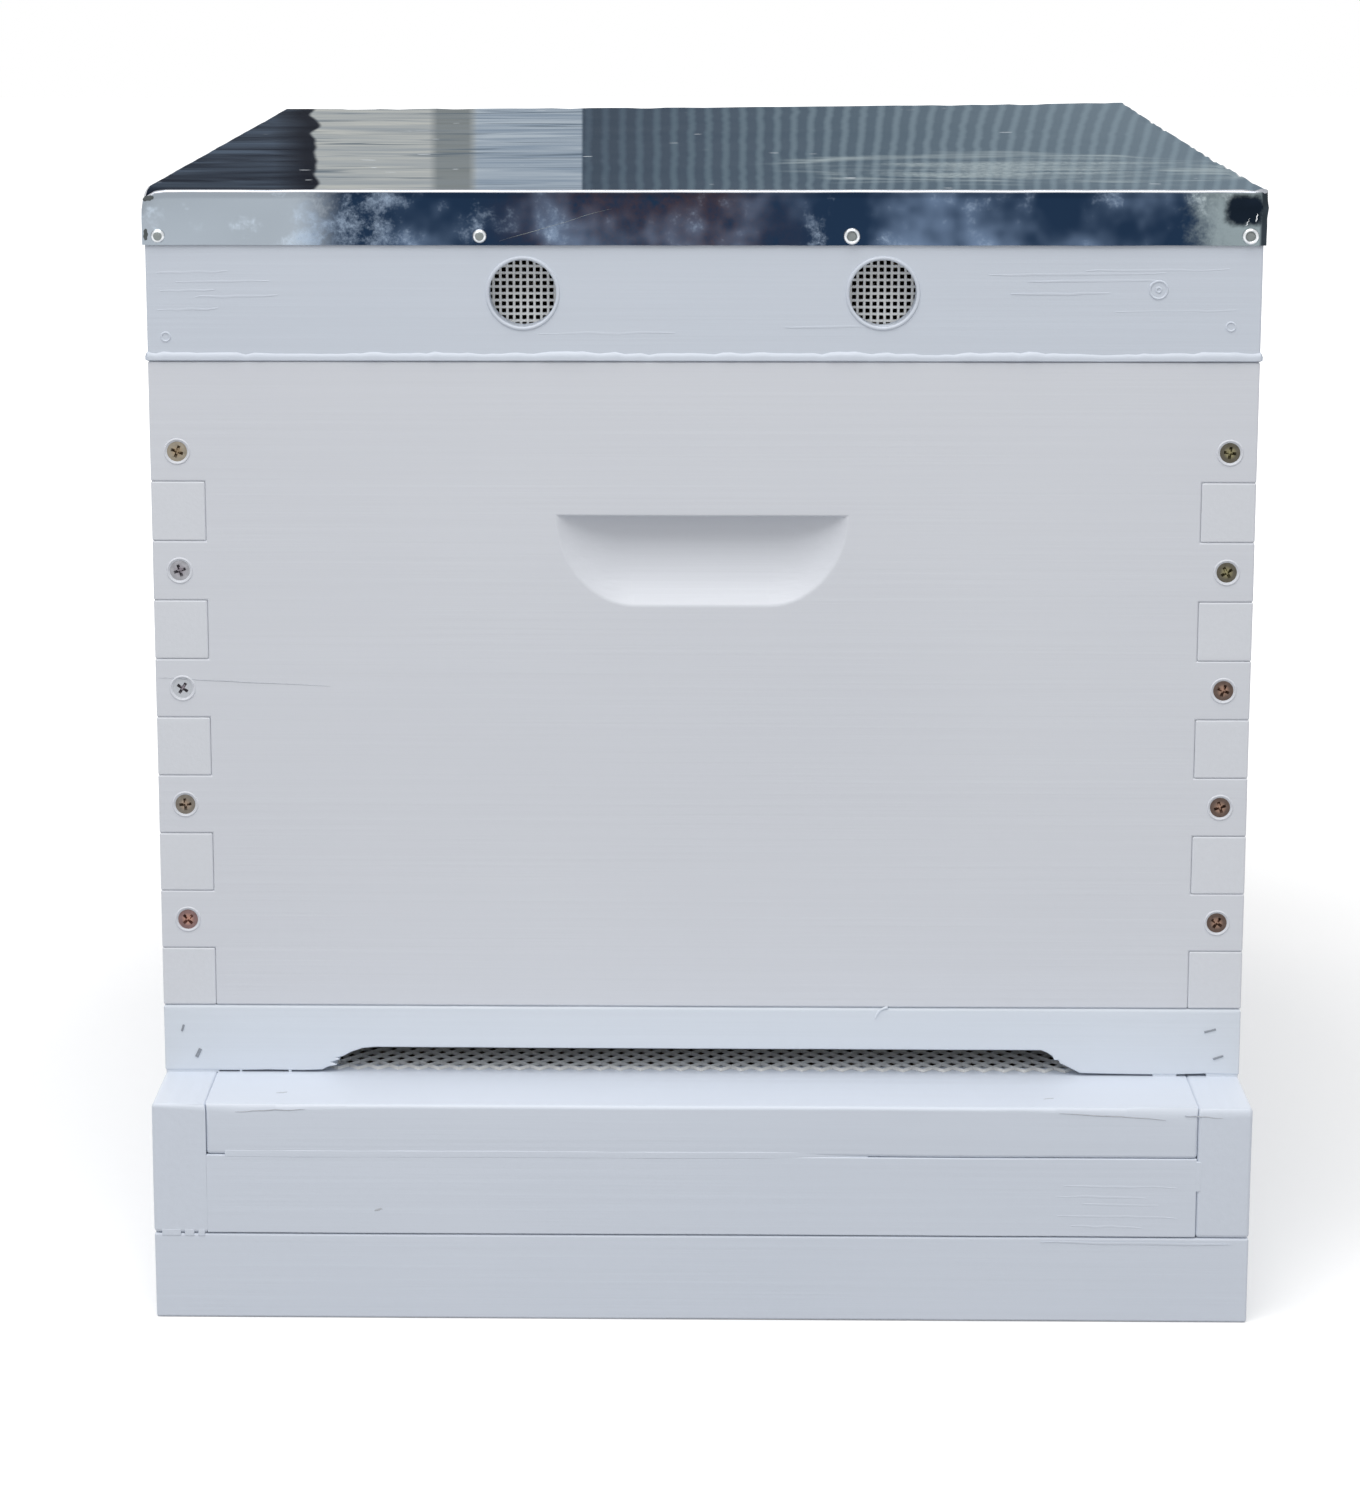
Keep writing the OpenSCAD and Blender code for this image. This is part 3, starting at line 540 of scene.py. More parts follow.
def paint_rings(rings, face_y, out):
    """Low rings of paint on an end face, each given by X, Z, radius and thickness."""
    bm = bmesh.new()
    for x, z, r, thick in rings:
        before = so_far(bm)
        centre = Matrix.Translation((x + r, face_y - out * 0.25 * thick, z))
        bmesh.ops.create_circle(bm, segments=10, radius=thick, matrix=centre)
        verts, edges, faces = added(bm, before)
        turned = {"axis": (0, 1, 0), "cent": (x, 0, z), "steps": 48, "angle": math.tau}
        bmesh.ops.spin(bm, geom=verts + edges, use_merge=True, **turned)
    waver(bm, 0.12)
    return bm


low, high = extent("box_front")
row_h = (high.z - low.z) / 11
screw_x, screw_z = high.x - 10, low.z + 1.5 * row_h
back_y = extent("box_back")[1].y


def screw_metal(name, middle, rim):
    """Plated steel, with one tone in the middle of each head and another towards its rim, painted in as glint
    and shade.
    """
    made, add, place = new_material(name)
    xyz = add("SeparateXYZ", {0: place})
    outward = add("Math", {0: xyz[0]}, operation="ABSOLUTE")[0]
    beside = add("Math", {0: outward, 1: screw_x / 1000}, operation="SUBTRACT")[0]
    upward = add("Math", {0: xyz[2], 1: screw_z / 1000}, operation="SUBTRACT")[0]
    above = add("Math", {0: upward, 1: row_h / 1000}, operation="PINGPONG")[0]
    from_axis = add("CombineXYZ", {0: beside, 1: above})[0]
    away = add("VectorMath", {0: from_axis}, operation="LENGTH")["Value"]
    # Painted glint in the middle of a head, painted shade towards its rim
    outer = add("MapRange", {0: away, 1: 0.0004, 2: 0.0026})[0]
    tone = add("Mix", {0: outer, 6: tint(middle), 7: tint(rim)}, data_type="RGBA")[2]
    stain = add("TexNoise", {"Vector": place, "Scale": 1000 / 1.4, "Detail": 4.0})["Fac"]
    dark = add("MapRange", {0: stain, 1: 0.3, 2: 0.7, 3: 0.72, 4: 1.0})[0]
    stained = add("Mix", {0: 1.0, 6: tone, 7: dark}, data_type="RGBA", blend_type="MULTIPLY")[2]
    plated = add("BsdfPrincipled", {"Base Color": stained, "Metallic": 0.8, "Roughness": 0.35})[0]
    add("OutputMaterial", {"Surface": plated})
    return made


# Plating gone dull in the weather: tan, grey, brown and olive zinc, and red copper, with 1.4 mm stains, and a
# middle and rim of each head in two tones as painted glint and shade. The paint over one head is a greyer
# copy of the box's, darkened as painted shade, and its cross is bare again.
finishes = [
    screw_metal("screw-tan-zinc", "#99856a", "#8f8779"),
    screw_metal("screw-grey-zinc", "#878088", "#9a9a9f"),
    # Paint over one head, greyer than the box's as painted shade
    house_paint("house-paint-over-screw", "#cbcfd4", "#c2c6cc", (240, 2.2, 2.2)),
    screw_metal("screw-brown-zinc", "#9f8b79", "#726c64"),
    screw_metal("screw-copper", "#be9180", "#7d6462"),
    screw_metal("screw-olive-zinc", "#938c68", "#59554a"),
    screw_metal("screw-dark-copper", "#a38371", "#5c4d46"),
]
bare, painted_over = 1, 2
worn = [0, 1, 2, 3, 4, 5, 5, 6, 6, 6, 1, 0, 3, 5, 0, 4, 3, 1, 0, 5]
head_r, cross_half, cross_w, cross_deep, sunk_by = 3.7, 2.3, 0.55, 1.7, 0.15
body = [(0.25, 3.8), (1.8, 2.0), (46, 1.9), (50, 0.3)]
arm = [(cross_w, cross_w), (cross_w, cross_half), (-cross_w, cross_half)]
cross = [(x * c - z * s, x * s + z * c) for c, s in ((1, 0), (0, 1), (-1, 0), (0, -1)) for x, z in arm]
bm = bmesh.new()
for number, finish in enumerate(worn):
    before = so_far(bm)
    bmesh.ops.create_circle(bm, segments=24, radius=head_r, matrix=Matrix.Rotation(math.pi / 2, 4, "X"))
    loop = added(bm, before)[1]
    corners = [bm.verts.new((x, 0, z)) for x, z in cross]
    edges = [bm.edges.new(pair) for pair in zip(corners, corners[1:] + corners[:1])]
    bmesh.ops.triangle_fill(bm, use_beauty=True, edges=loop + edges, normal=(0, -1, 0))
    deep = bmesh.ops.extrude_edge_only(bm, edges=edges)["geom"]
    sunk = only(bmesh.types.BMVert, deep)
    bmesh.ops.translate(bm, verts=sunk, vec=(0, cross_deep, 0))
    bmesh.ops.scale(bm, verts=sunk, vec=(0.5, 1, 0.5))
    recess_end = bmesh.ops.contextual_create(bm, geom=only(bmesh.types.BMEdge, deep))["faces"]
    recess = only(bmesh.types.BMFace, deep) + recess_end
    for y, r in body:
        grown = bmesh.ops.extrude_edge_only(bm, edges=loop)["geom"]
        loop = only(bmesh.types.BMEdge, grown)
        for v in only(bmesh.types.BMVert, grown):
            v.co = Vector((v.co.x, 0, v.co.z)).normalized() * r + Vector((0, y, 0))
    bmesh.ops.contextual_create(bm, geom=loop)
    verts, edges, faces = added(bm, before)
    for f in faces:
        f.material_index = finish
    if finish == painted_over:
        for f in recess:
            f.material_index = bare
    side = -1 if number % 10 < 5 else 1
    place_z = screw_z + row_h * (8 - 2 * (number % 5))
    turn = Matrix.Rotation(0.35 + 0.9 * number, 4, "Y")
    if number < 10:
        spot = Matrix.Translation((side * screw_x, low.y + sunk_by, place_z))
    else:
        spot = Matrix.Translation((side * screw_x, back_y - sunk_by, place_z))
        spot = spot @ Matrix.Rotation(math.pi, 4, "Z")
    bmesh.ops.transform(bm, matrix=spot @ turn, verts=verts)
piece("box-screws", bm, finishes, "brood_box", "screw_steel", "box_screws")
collars = [(side * screw_x, screw_z + row_h * 2 * k, 4.5, 0.42) for side in (-1, 1) for k in range(5)]
painted("screw-paint-rings-front", paint_rings(collars, low.y, -1), box_paint_across, "brood_box")
painted("screw-paint-rings-back", paint_rings(collars, back_y, 1), box_paint_across, "brood_box")

# Frames: ten frames of planed bare pine, each of a top bar, two forked end bars and a bottom bar, glued
# together. They hang in the box by the lugs of their top bars, and their end bars keep them apart.

bare_pine, add, place = new_material("bare-pine")
# Yellow softwood with long grain and darker summer rings, which are drawn about 6 mm apart, coarser than
# real, so that they show
grain_way = add("Mapping", {"Vector": place, "Scale": [1000 / s for s in (6.25, 143, 16.7)]})[0]
grain = add("TexNoise", {"Vector": grain_way, "Scale": 1.0, "Detail": 4.0, "Distortion": 0.8})["Fac"]
ring = add("MapRange", {0: grain, 1: 0.35, 2: 0.68})[0]
pine = add("Mix", {0: ring, 6: tint("#e3c796"), 7: tint("#c79b62")}, data_type="RGBA")[2]
ridge = add("Bump", {"Strength": 0.15, "Distance": 0.0003, "Height": grain})[0]
wood = add("BsdfPrincipled", {"Base Color": pine, "Roughness": 0.62, "Normal": ridge})[0]
add("OutputMaterial", {"Surface": wood})
for k in range(1, 11):
    dress(f"frame_{k}", bare_pine)
    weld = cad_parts[f"frame_{k}"].modifiers.new("weld", "WELD")
    weld.merge_threshold = 0.00001
    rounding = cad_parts[f"frame_{k}"].modifiers.new("rounding", "BEVEL")
    rounding.width, rounding.segments, rounding.limit_method = 0.0005, 2, "ANGLE"

# Foundation: thin sheets of beeswax, rolled between rollers that emboss the pattern of comb cells. Each is
# held in the grooves of its frame.

beeswax, add, place = new_material("embossed-beeswax")
# Amber wax with 5.3 mm cells in rows 4.6 mm apart, each a shallow dimple between raised walls
cell_rows = 0.0046
waves = None
for turn in (0, 60, 120):
    way = (0.0, math.cos(math.radians(turn)), math.sin(math.radians(turn)))
    reach = add("VectorMath", {0: place, 1: way}, operation="DOT_PRODUCT")["Value"]
    phase = add("Math", {0: reach, 1: math.tau / cell_rows}, operation="MULTIPLY")[0]
    swing = add("Math", {0: phase}, operation="COSINE")[0]
    waves = add("Math", {0: waves, 1: swing}, operation="ADD")[0] if waves else swing
cells = add("MapRange", {0: waves, 1: -1.5, 2: 1.2})[0]
amber = add("Mix", {0: cells, 6: tint("#dba63c"), 7: tint("#c2862a")}, data_type="RGBA")[2]
walls = add("Bump", {"Strength": 0.6, "Distance": 0.0008, "Height": cells}, invert=True)[0]
clear = {"Subsurface Weight": 0.2, "Subsurface Scale": 0.002}
wax = add("BsdfPrincipled", {"Base Color": amber, "Roughness": 0.42, "Normal": walls, **clear})[0]
add("OutputMaterial", {"Surface": wax})
for k in range(1, 11):
    dress(f"foundation_{k}", beeswax)

# Lid boards: thin sawn pine boards nailed into a ring that stands on the box, with two vents bored through
# each end. The brush has left ridges, and paint has run down and set as a bead with drips along the foot.

# The same house paint in a cooler, greyer coat, with shorter strokes
lid_paint_across = house_paint("house-paint-lid-across", "#d2d9e3", "#ccd3de", (220, 2.4, 2.4))
lid_paint_along = house_paint("house-paint-lid-along", "#d2d9e3", "#ccd3de", (2.4, 220, 2.4))
# A knot and two nail heads stand out under the paint as rings
knot = [(165.5, 379.9, 3.2, 0.45), (165.5, 379.9, 0.9, 0.4)]
marks = knot + [(192.0, 366.5, 1.6, 0.4), (-196.2, 362.5, 1.6, 0.4)]
vent_r, vent_lip, hairline = 12.4, 12.9, 0.2
for end in ("front", "back"):
    low, high = extent(f"lid_{end}")
    foot = low.z + hairline
    outline = [(low.x, foot), (high.x, foot), (high.x, high.z), (low.x, high.z)]
    patches = [extent(f"vent_mesh_{end}_{side}") for side in ("left", "right")]
    vents = [((p.x + q.x) / 2, (p.z + q.z) / 2, vent_r) for p, q in patches]
    lid_board = plate(outline, vents, low.y, high.y - low.y)
    ease(lid_board, 0.8)
    waver(lid_board, 0.12)
    painted(f"lid-board-{end}", lid_board, lid_paint_across, "lid", f"lid_{end}")
    face_y, out = (low.y, -1) if end == "front" else (high.y, 1)
    rings = [(x, z, vent_lip, 0.75) for x, z, r in vents] + (marks if end == "front" else [])
    lips = paint_rings(rings, face_y, out)
    painted(f"lid-paint-lips-{end}", lips, lid_paint_across, "lid")
for side in ("left", "right"):
    lid_board = sawn(*extent(f"lid_{side}"))
    painted(f"lid-board-{side}", lid_board, lid_paint_along, "lid", f"lid_{side}")
sunk_nails("lid-nails", "lid_nails", "lid")

lid_low, lid_high = extent("lid_front")
lid_back_y = extent("lid_back")[1].y
strokes = [
    (-199, 32.5, 26), (-192, 29.1, 34), (-198, 25.8, 20), (-185, 23.7, 30), (-199, 18.9, 22), (104, 31.9, 64),
    (118, 29.5, 48), (139, 33.3, 52), (112, 24.8, 36), (150, 18.5, 44), (-60, 10.3, 50), (30, 12.7, 40),
]
ridges = brush_ridges(strokes, lid_low.y, lid_low.z, 0.4)
painted("lid-brush-ridges", ridges, lid_paint_across, "lid")
corners = [
    Vector((lid_low.x, lid_low.y, 0)), Vector((lid_high.x, lid_low.y, 0)),
    Vector((lid_high.x, lid_back_y, 0)), Vector((lid_low.x, lid_back_y, 0)),
]
section = [(-0.3, 1.2), (0.5, 1.0), (1.0, 0.6), (0.9, 0.2), (-0.3, 0.04)]
bm = bmesh.new()
for start, end in zip(corners, corners[1:] + corners[:1]):
    way = (end - start).normalized()
    out = way.cross(Vector((0, 0, 1)))
    count = int((end - start).length / 3)
    before = so_far(bm)
    profile = [bm.verts.new(start + out * o + Vector((0, 0, z))) for o, z in section]
    face = bm.faces.new(profile)
    step = (end - start) / count
    geom = [face, *face.edges, *profile]
    bmesh.ops.spin(bm, geom=geom, cent=start, axis=(0, 0, 1), dvec=step, angle=0, steps=count)
    for v in added(bm, before)[0]:
        spot = start + way * (v.co - start).dot(way)
        lump = 0.5 + 0.6 * noise.noise(spot * 0.03) + 0.6 * noise.noise(spot * 0.17)
        lump += 0.4 * noise.noise(spot * 0.5)
        tall, proud = 2.3 + 1.1 * max(lump, -0.3), 0.45 + 0.6 * max(lump, 0.0)
        o = (v.co - start).dot(out)
        v.co = spot + out * (o * proud if o > 0 else o) + Vector((0, 0, lid_low.z + v.co.z * tall))
painted("lid-paint-bead", bm, lid_paint_across, "lid")

# Vent meshes: square patches of galvanised wire mesh, cut with snips and fixed over the vents on the inside
# of the lid boards, where they let air out and keep insects from getting through.

# The floor mesh's finish, painted lighter than zinc to make up for shade
for end in ("front", "back"):
    for side in ("left", "right"):
        dress(f"vent_mesh_{end}_{side}", mesh_steel)

# Lid panel: a sheet of pine plywood, laid on the lid boards and held down by the metal folded over it. Its
# left front corner is knocked in, where the metal is tucked.

plywood, add, place = new_material("plywood")
# Pale veneer with broad flame grain, 36 mm across, and plies 1.7 mm thick at the edges
veneer_way = add("Mapping", {"Vector": place, "Scale": [1000 / s for s in (35.7, 227, 1.67)]})[0]
veneer = add("TexNoise", {"Vector": veneer_way, "Scale": 1.0, "Detail": 5.0, "Distortion": 1.4})["Fac"]
pale = add("Mix", {0: veneer, 6: tint("#d9bd8f"), 7: tint("#b98f5c")}, data_type="RGBA")[2]
ply = add("BsdfPrincipled", {"Base Color": pale, "Roughness": 0.6})[0]
add("OutputMaterial", {"Surface": ply})
panel_low, panel_high = extent("lid_panel")
panel = sawn(panel_low, panel_high, gap=0.05, soft=4.0, depth=0.05)
knock_x, knock_y, knock_in, knock_down = 9, 16, Vector((2.5, 1.0, 0)), 4
for v in panel.verts:
    if v.co.x < panel_low.x + knock_x and v.co.y < panel_low.y + knock_y:
        v.co += knock_in
        v.co.z = min(v.co.z, panel_high.z - knock_down)
piece("lid-panel", panel, [plywood], "lid", "plywood", "lid_panel")

# Metal cover: one bright galvanised steel sheet, folded down over the plywood by hand. Its top is uneven, the
# left front corner is tucked in, the right one is crumpled, and the folds carry a painted highlight.


def near(add, reading, centre, full, none, most, least=0.0, **settings):
    """Most where a reading lies within one distance of a centre, falling to least at another."""
    off = add("Math", {0: reading, 1: centre}, operation="SUBTRACT")[0]
    far = add("Math", {0: off}, operation="ABSOLUTE")[0]
    return add("MapRange", {0: far, 1: full, 2: none, 3: most, 4: least}, **settings)[0]


smooth = {"interpolation_type": "SMOOTHSTEP"}
sheet_top, add, place = new_material("galvanised-sheet-top")
# Slate-grey zinc, scratched, with reflections painted into its colour: a dark zone along the left, a pale
# band with a grey strip, lighter stripes that stand in for reflected lines and spread a little, and a pale
# smear with a swipe round it. The stripes, band and streaks fan out from a point in front of the sheet, and
# the stripes lie about 6 mm apart at its front edge. The zinc's own grain is drawn 2.4 mm wide, coarser than
# real, so that it shows.
fan_point, front_edge, stripe_pitch = 1.69, extent("metal_cover")[0].y / 1000, 0.0062
xyz = add("SeparateXYZ", {0: place})
x, y = xyz[0], xyz[1]
reach = add("Math", {0: y, 1: fan_point}, operation="ADD")[0]
fan = add("Math", {0: x, 1: reach}, operation="DIVIDE")[0]
ragged = add("TexNoise", {"Vector": place, "Scale": 1000 / 35.7, "Detail": 3.0})["Fac"]
grainy = add("TexNoise", {"Vector": place, "Scale": 1000 / 2.38, "Detail": 3.0, "Roughness": 0.7})["Fac"]
torn_way = add("Mapping", {"Vector": place, "Location": (0, 3.35, 0), "Scale": (0, 1000 / 167, 0)})[0]
torn = add("TexNoise", {"Vector": torn_way, "Scale": 1.0, "Detail": 2.0})["Fac"]
rag = add("MapRange", {0: torn, 1: 0.35, 2: 0.65, 3: -0.0016, 4: 0.0016})[0]
torn_fan = add("Math", {0: fan, 1: rag}, operation="ADD")[0]
# The dark zone along the left and the pale band are painted reflections
in_band = add("MapRange", {0: torn_fan, 1: -0.0972, 2: -0.0958}, **smooth)[0]
past_band = add("MapRange", {0: fan, 1: -0.0305, 2: -0.0296}, **smooth)[0]
streak_way = add("Mapping", {"Vector": place, "Scale": [1000 / s for s in (111, 25, 1000)]})[0]
streak_settings = {"Vector": streak_way, "Scale": 1.0, "Detail": 5.0, "Roughness": 0.62, "Distortion": 0.9}
streak_noise = add("TexNoise", streak_settings)["Fac"]
streak_mix = add("MapRange", {0: streak_noise, 1: 0.36, 2: 0.64})[0]
scratches = {"Vector": place, "Location": (3, 1, 0), "Scale": [1000 / s for s in (143, 21.74, 1000)]}
scratch_way = add("Mapping", scratches)[0]
scratched = add("TexNoise", {"Vector": scratch_way, "Scale": 1.0, "Detail": 2.0, "Distortion": 1.6})["Fac"]
scratch = add("MapRange", {0: scratched, 1: 0.575, 2: 0.65, 3: 0.0, 4: 0.7})[0]
dark_reflection_edge = add("MapRange", {0: torn_fan, 1: -0.107, 2: -0.099, 3: 0.0, 4: 0.85})[0]
dark_reflection_streaks = add("Mix", {0: streak_mix, 6: tint("#363e4c"), 7: tint("#66727f")}, data_type="RGBA")[2]
dark = add("Mix", {0: dark_reflection_edge, 6: dark_reflection_streaks, 7: tint("#232836")}, data_type="RGBA")[2]
cream_reflection = add("Mix", {0: streak_mix, 6: tint("#a3a9ad"), 7: tint("#bfc1be")}, data_type="RGBA")[2]
bluish_reflection = add("Mix", {0: streak_mix, 6: tint("#909dab"), 7: tint("#b5bec6")}, data_type="RGBA")[2]
blue_side = add("MapRange", {0: fan, 1: -0.0585, 2: -0.0555}, **smooth)[0]
two_tone = add("Mix", {0: blue_side, 6: cream_reflection, 7: bluish_reflection}, data_type="RGBA")[2]
strip_in = near(add, fan, -0.0622, 0.0038, 0.006, 1.0)
strip_depth = add("MapRange", {0: streak_noise, 1: 0.3, 2: 0.7, 3: 0.4, 4: 0.8})[0]
strip = add("Math", {0: strip_in, 1: strip_depth}, operation="MULTIPLY")[0]
with_strip = add("Mix", {0: strip, 6: two_tone, 7: tint("#6f777b")}, data_type="RGBA")[2]
pale_reflection_band = add("Mix", {0: scratch, 6: with_strip, 7: tint("#65727f")}, data_type="RGBA")[2]
rightmost = add("MapRange", {0: x, 1: 0.03, 2: 0.2, 3: 0.0, 4: 0.014})[0]
frontward = add("Math", {0: 0.25, 1: y}, operation="SUBTRACT")[0]
lean = add("Math", {0: rightmost, 1: frontward, 2: fan}, operation="MULTIPLY_ADD")[0]
unsteady = add("Math", {0: ragged, 1: 0.0016, 2: lean}, operation="MULTIPLY_ADD")[0]
# The lighter stripes are painted reflections of lines, spreading from the same point
stripe_place = add("CombineXYZ", {0: unsteady})[0]
# A wave texture of scale 1 repeats every 2 pi / 20
stripe_repeats = math.tau / 20 * (fan_point + front_edge) / stripe_pitch
reflected_stripes = add("TexWave", {"Vector": stripe_place, "Scale": stripe_repeats}, bands_direction="X")["Fac"]
rightward = add("MapRange", {0: x, 1: -0.05, 2: 0.2})[0]
slate = add("Mix", {0: rightward, 6: tint("#566370"), 7: tint("#828f99")}, data_type="RGBA")[2]
line_depth = add("MapRange", {0: x, 1: -0.05, 2: 0.06, 3: 0.12, 4: 0.34})[0]
line_shape = add("MapRange", {0: reflected_stripes, 1: 0.35, 2: 1.0})[0]
lines = add("Math", {0: line_shape, 1: line_depth}, operation="MULTIPLY")[0]
with_reflected_stripes = add("Mix", {0: lines, 6: slate, 7: tint("#a3b3bc")}, data_type="RGBA")[2]
# The pale smear and the swipe round it are a painted reflection
smear_off = add("VectorMath", {0: place, 1: (0.122, -0.128, 0.416)}, operation="SUBTRACT")[0]
uneven = add("TexNoise", {"Vector": place, "Scale": 1000 / 62.5, "Detail": 2.0})["Color"]
uneven_off = add("VectorMath", {0: uneven, 1: (0.5, 0.5, 0.5)}, operation="SUBTRACT")[0]
bent = {0: uneven_off, 1: (0.12, 0.12, 0.0), 2: smear_off}
smear_bent = add("VectorMath", bent, operation="MULTIPLY_ADD")[0]
smear_size = (1000 / 58.8, 1000 / 62.5, 0)
smear_flat = add("VectorMath", {0: smear_bent, 1: smear_size}, operation="MULTIPLY")[0]
smear_away = add("VectorMath", {0: smear_flat}, operation="LENGTH")["Value"]
smear_edge = add("Math", {0: streak_noise, 1: 2.2, 2: smear_away}, operation="MULTIPLY_ADD")[0]
smear_in = add("MapRange", {0: smear_edge, 1: 1.5, 2: 2.1, 3: 0.75, 4: 0.0})[0]
smear_grain = add("MapRange", {0: grainy, 1: 0.38, 2: 0.62, 3: 0.35, 4: 1.0})[0]
smear_spots = add("Math", {0: smear_in, 1: smear_grain}, operation="MULTIPLY")[0]
swipe_in = near(add, smear_away, 1.22, 0.0, 0.3, 0.65)
swipe_streaks = add("MapRange", {0: streak_noise, 1: 0.46, 2: 0.62})[0]
swipe_reflection = add("Math", {0: swipe_in, 1: swipe_streaks}, operation="MULTIPLY")[0]
smear_reflection = add("Math", {0: smear_spots, 1: swipe_reflection}, operation="MAXIMUM")[0]
with_smear_reflection = add("Mix", {0: smear_reflection, 6: with_reflected_stripes, 7: tint("#b9c3c5")}, data_type="RGBA")[2]
left_half = add("Mix", {0: in_band, 6: dark, 7: pale_reflection_band}, data_type="RGBA")[2]
zoned = add("Mix", {0: past_band, 6: left_half, 7: with_smear_reflection}, data_type="RGBA")[2]
glint_way = add("Mapping", {"Vector": place, "Scale": [1000 / s for s in (13.33, 7.69, 1000)]})[0]
glinting = add("TexNoise", {"Vector": glint_way, "Scale": 1.0, "Detail": 1.0})["Fac"]
glint = add("MapRange", {0: glinting, 1: 0.775, 2: 0.8})[0]
slated = add("Mix", {0: glint, 6: zoned, 7: tint("#d5dade")}, data_type="RGBA")[2]
dents = add("Bump", {"Strength": 0.15, "Distance": 0.0006, "Height": ragged})[0]
zinc = {"Base Color": slated, "Specular Tint": slated, "Metallic": 1.0, "Roughness": 0.5, "Normal": dents}
sheet = add("BsdfPrincipled", zinc)[0]
add("OutputMaterial", {"Surface": sheet})

sheet_skirt, add, place = new_material("galvanised-sheet-skirt")
# Bright zinc, painted blue-black as a reflection of the sky, with soft 34 mm clouds and a brown stretch that
# are painted reflections too, frosty 17 mm spangles and a dull pale end. The crystals in the spangles are
# drawn 3 mm wide, coarser than real, so that they show.
xyz = add("SeparateXYZ", {0: place})
x, y = xyz[0], xyz[1]
# The navy and its clouds are a painted reflection
clouds = add("TexNoise", {"Vector": place, "Scale": 1000 / 34, "Detail": 3.0, "Roughness": 0.6})["Fac"]
more_clouds_here = near(add, x, 0.088, 0.012, 0.038, 0.07)
cloudy = add("Math", {0: clouds, 1: more_clouds_here}, operation="ADD")[0]
cloud = add("MapRange", {0: cloudy, 1: 0.45, 2: 0.76}, **smooth)[0]
spangles = {"Vector": place, "Scale": 1000 / 17, "Detail": 8.0, "Roughness": 0.74}
frosted = add("TexNoise", spangles)["Fac"]
leftward = near(add, x, -0.129, 0.01, 0.03, 0.08, -0.012)
frosty = add("Math", {0: frosted, 1: leftward}, operation="ADD")[0]
frost = add("MapRange", {0: frosty, 1: 0.53, 2: 0.72}, **smooth)[0]
fine = add("TexNoise", {"Vector": place, "Scale": 1000 / 3.03, "Detail": 4.0, "Roughness": 0.7})["Fac"]
fern = add("Math", {0: frost, 1: fine}, operation="MULTIPLY")[0]
# The brown stretch is a painted reflection
brown_reflection_near = near(add, x, -0.02, 0.025, 0.065, 0.9, **smooth)
brown_reflection_patches = add("MapRange", {0: frosted, 1: 0.36, 2: 0.54})[0]
brown_reflection = add("Math", {0: brown_reflection_near, 1: brown_reflection_patches}, operation="MULTIPLY")[0]
navy_and_brown_reflection = add("Mix", {0: brown_reflection, 6: tint("#1c2d43"), 7: tint("#3b3138")}, data_type="RGBA")[2]
with_reflected_clouds = add("Mix", {0: cloud, 6: navy_and_brown_reflection, 7: tint("#62748d")}, data_type="RGBA")[2]
spangled = add("Mix", {0: fern, 6: with_reflected_clouds, 7: tint("#a3b4c8")}, data_type="RGBA")[2]
dull = add("Mix", {0: frost, 6: tint("#99a2ab"), 7: tint("#b9c6d3")}, data_type="RGBA")[2]
wander = add("MapRange", {0: frosted, 3: -0.02, 4: 0.02})[0]
along = add("Math", {0: x, 1: wander}, operation="ADD")[0]
dull_end = add("MapRange", {0: along, 1: -0.15, 2: -0.13, 3: 1.0, 4: 0.0}, **smooth)[0]
left_done = add("Mix", {0: dull_end, 6: spangled, 7: dull}, data_type="RGBA")[2]
right_end = add("MapRange", {0: along, 1: 0.172, 2: 0.189}, **smooth)[0]
greenish = add("Mix", {0: frost, 6: tint("#7f8b8f"), 7: tint("#b6c1c5")}, data_type="RGBA")[2]
right_done = add("Mix", {0: right_end, 6: left_done, 7: greenish}, data_type="RGBA")[2]
# Painted shade darkens a dent near the right front corner, and the tip of that corner, on the front face only
dent_off = add("VectorMath", {0: place, 1: (0.1960, -0.236, 0.4088)}, operation="SUBTRACT")[0]
dent_size = (1000 / 8, 0, 1000 / 6.06)
dent_flat = add("VectorMath", {0: dent_off, 1: dent_size}, operation="MULTIPLY")[0]
dent_square = add("VectorMath", {0: dent_flat, 1: dent_flat}, operation="MULTIPLY")[0]
dent_away = add("VectorMath", {0: dent_square}, operation="LENGTH")["Value"]
dent_ragged = add("Math", {0: fine, 1: 0.9, 2: dent_away}, operation="MULTIPLY_ADD")[0]
painted_dent_shade = add("MapRange", {0: dent_ragged, 1: 0.9, 2: 1.7, 3: 1.0, 4: 0.0}, **smooth)[0]
painted_tip_shade = add("MapRange", {0: x, 1: 0.2008, 2: 0.2022, 3: 0.0, 4: 0.9}, **smooth)[0]
facing = add("MapRange", {0: y, 1: -0.2345, 2: -0.2335, 3: 1.0, 4: 0.0})[0]
shaded = add("Math", {0: painted_dent_shade, 1: painted_tip_shade}, operation="MAXIMUM")[0]
painted_shade_on_front = add("Math", {0: shaded, 1: facing}, operation="MULTIPLY")[0]
with_painted_shade = add("Mix", {0: painted_shade_on_front, 6: right_done, 7: tint("#151d27")}, data_type="RGBA")[2]
rough = add("MapRange", {0: fern, 3: 0.16, 4: 0.45})[0]
skirt = add("BsdfPrincipled", {"Base Color": with_painted_shade, "Metallic": 1.0, "Roughness": rough})[0]
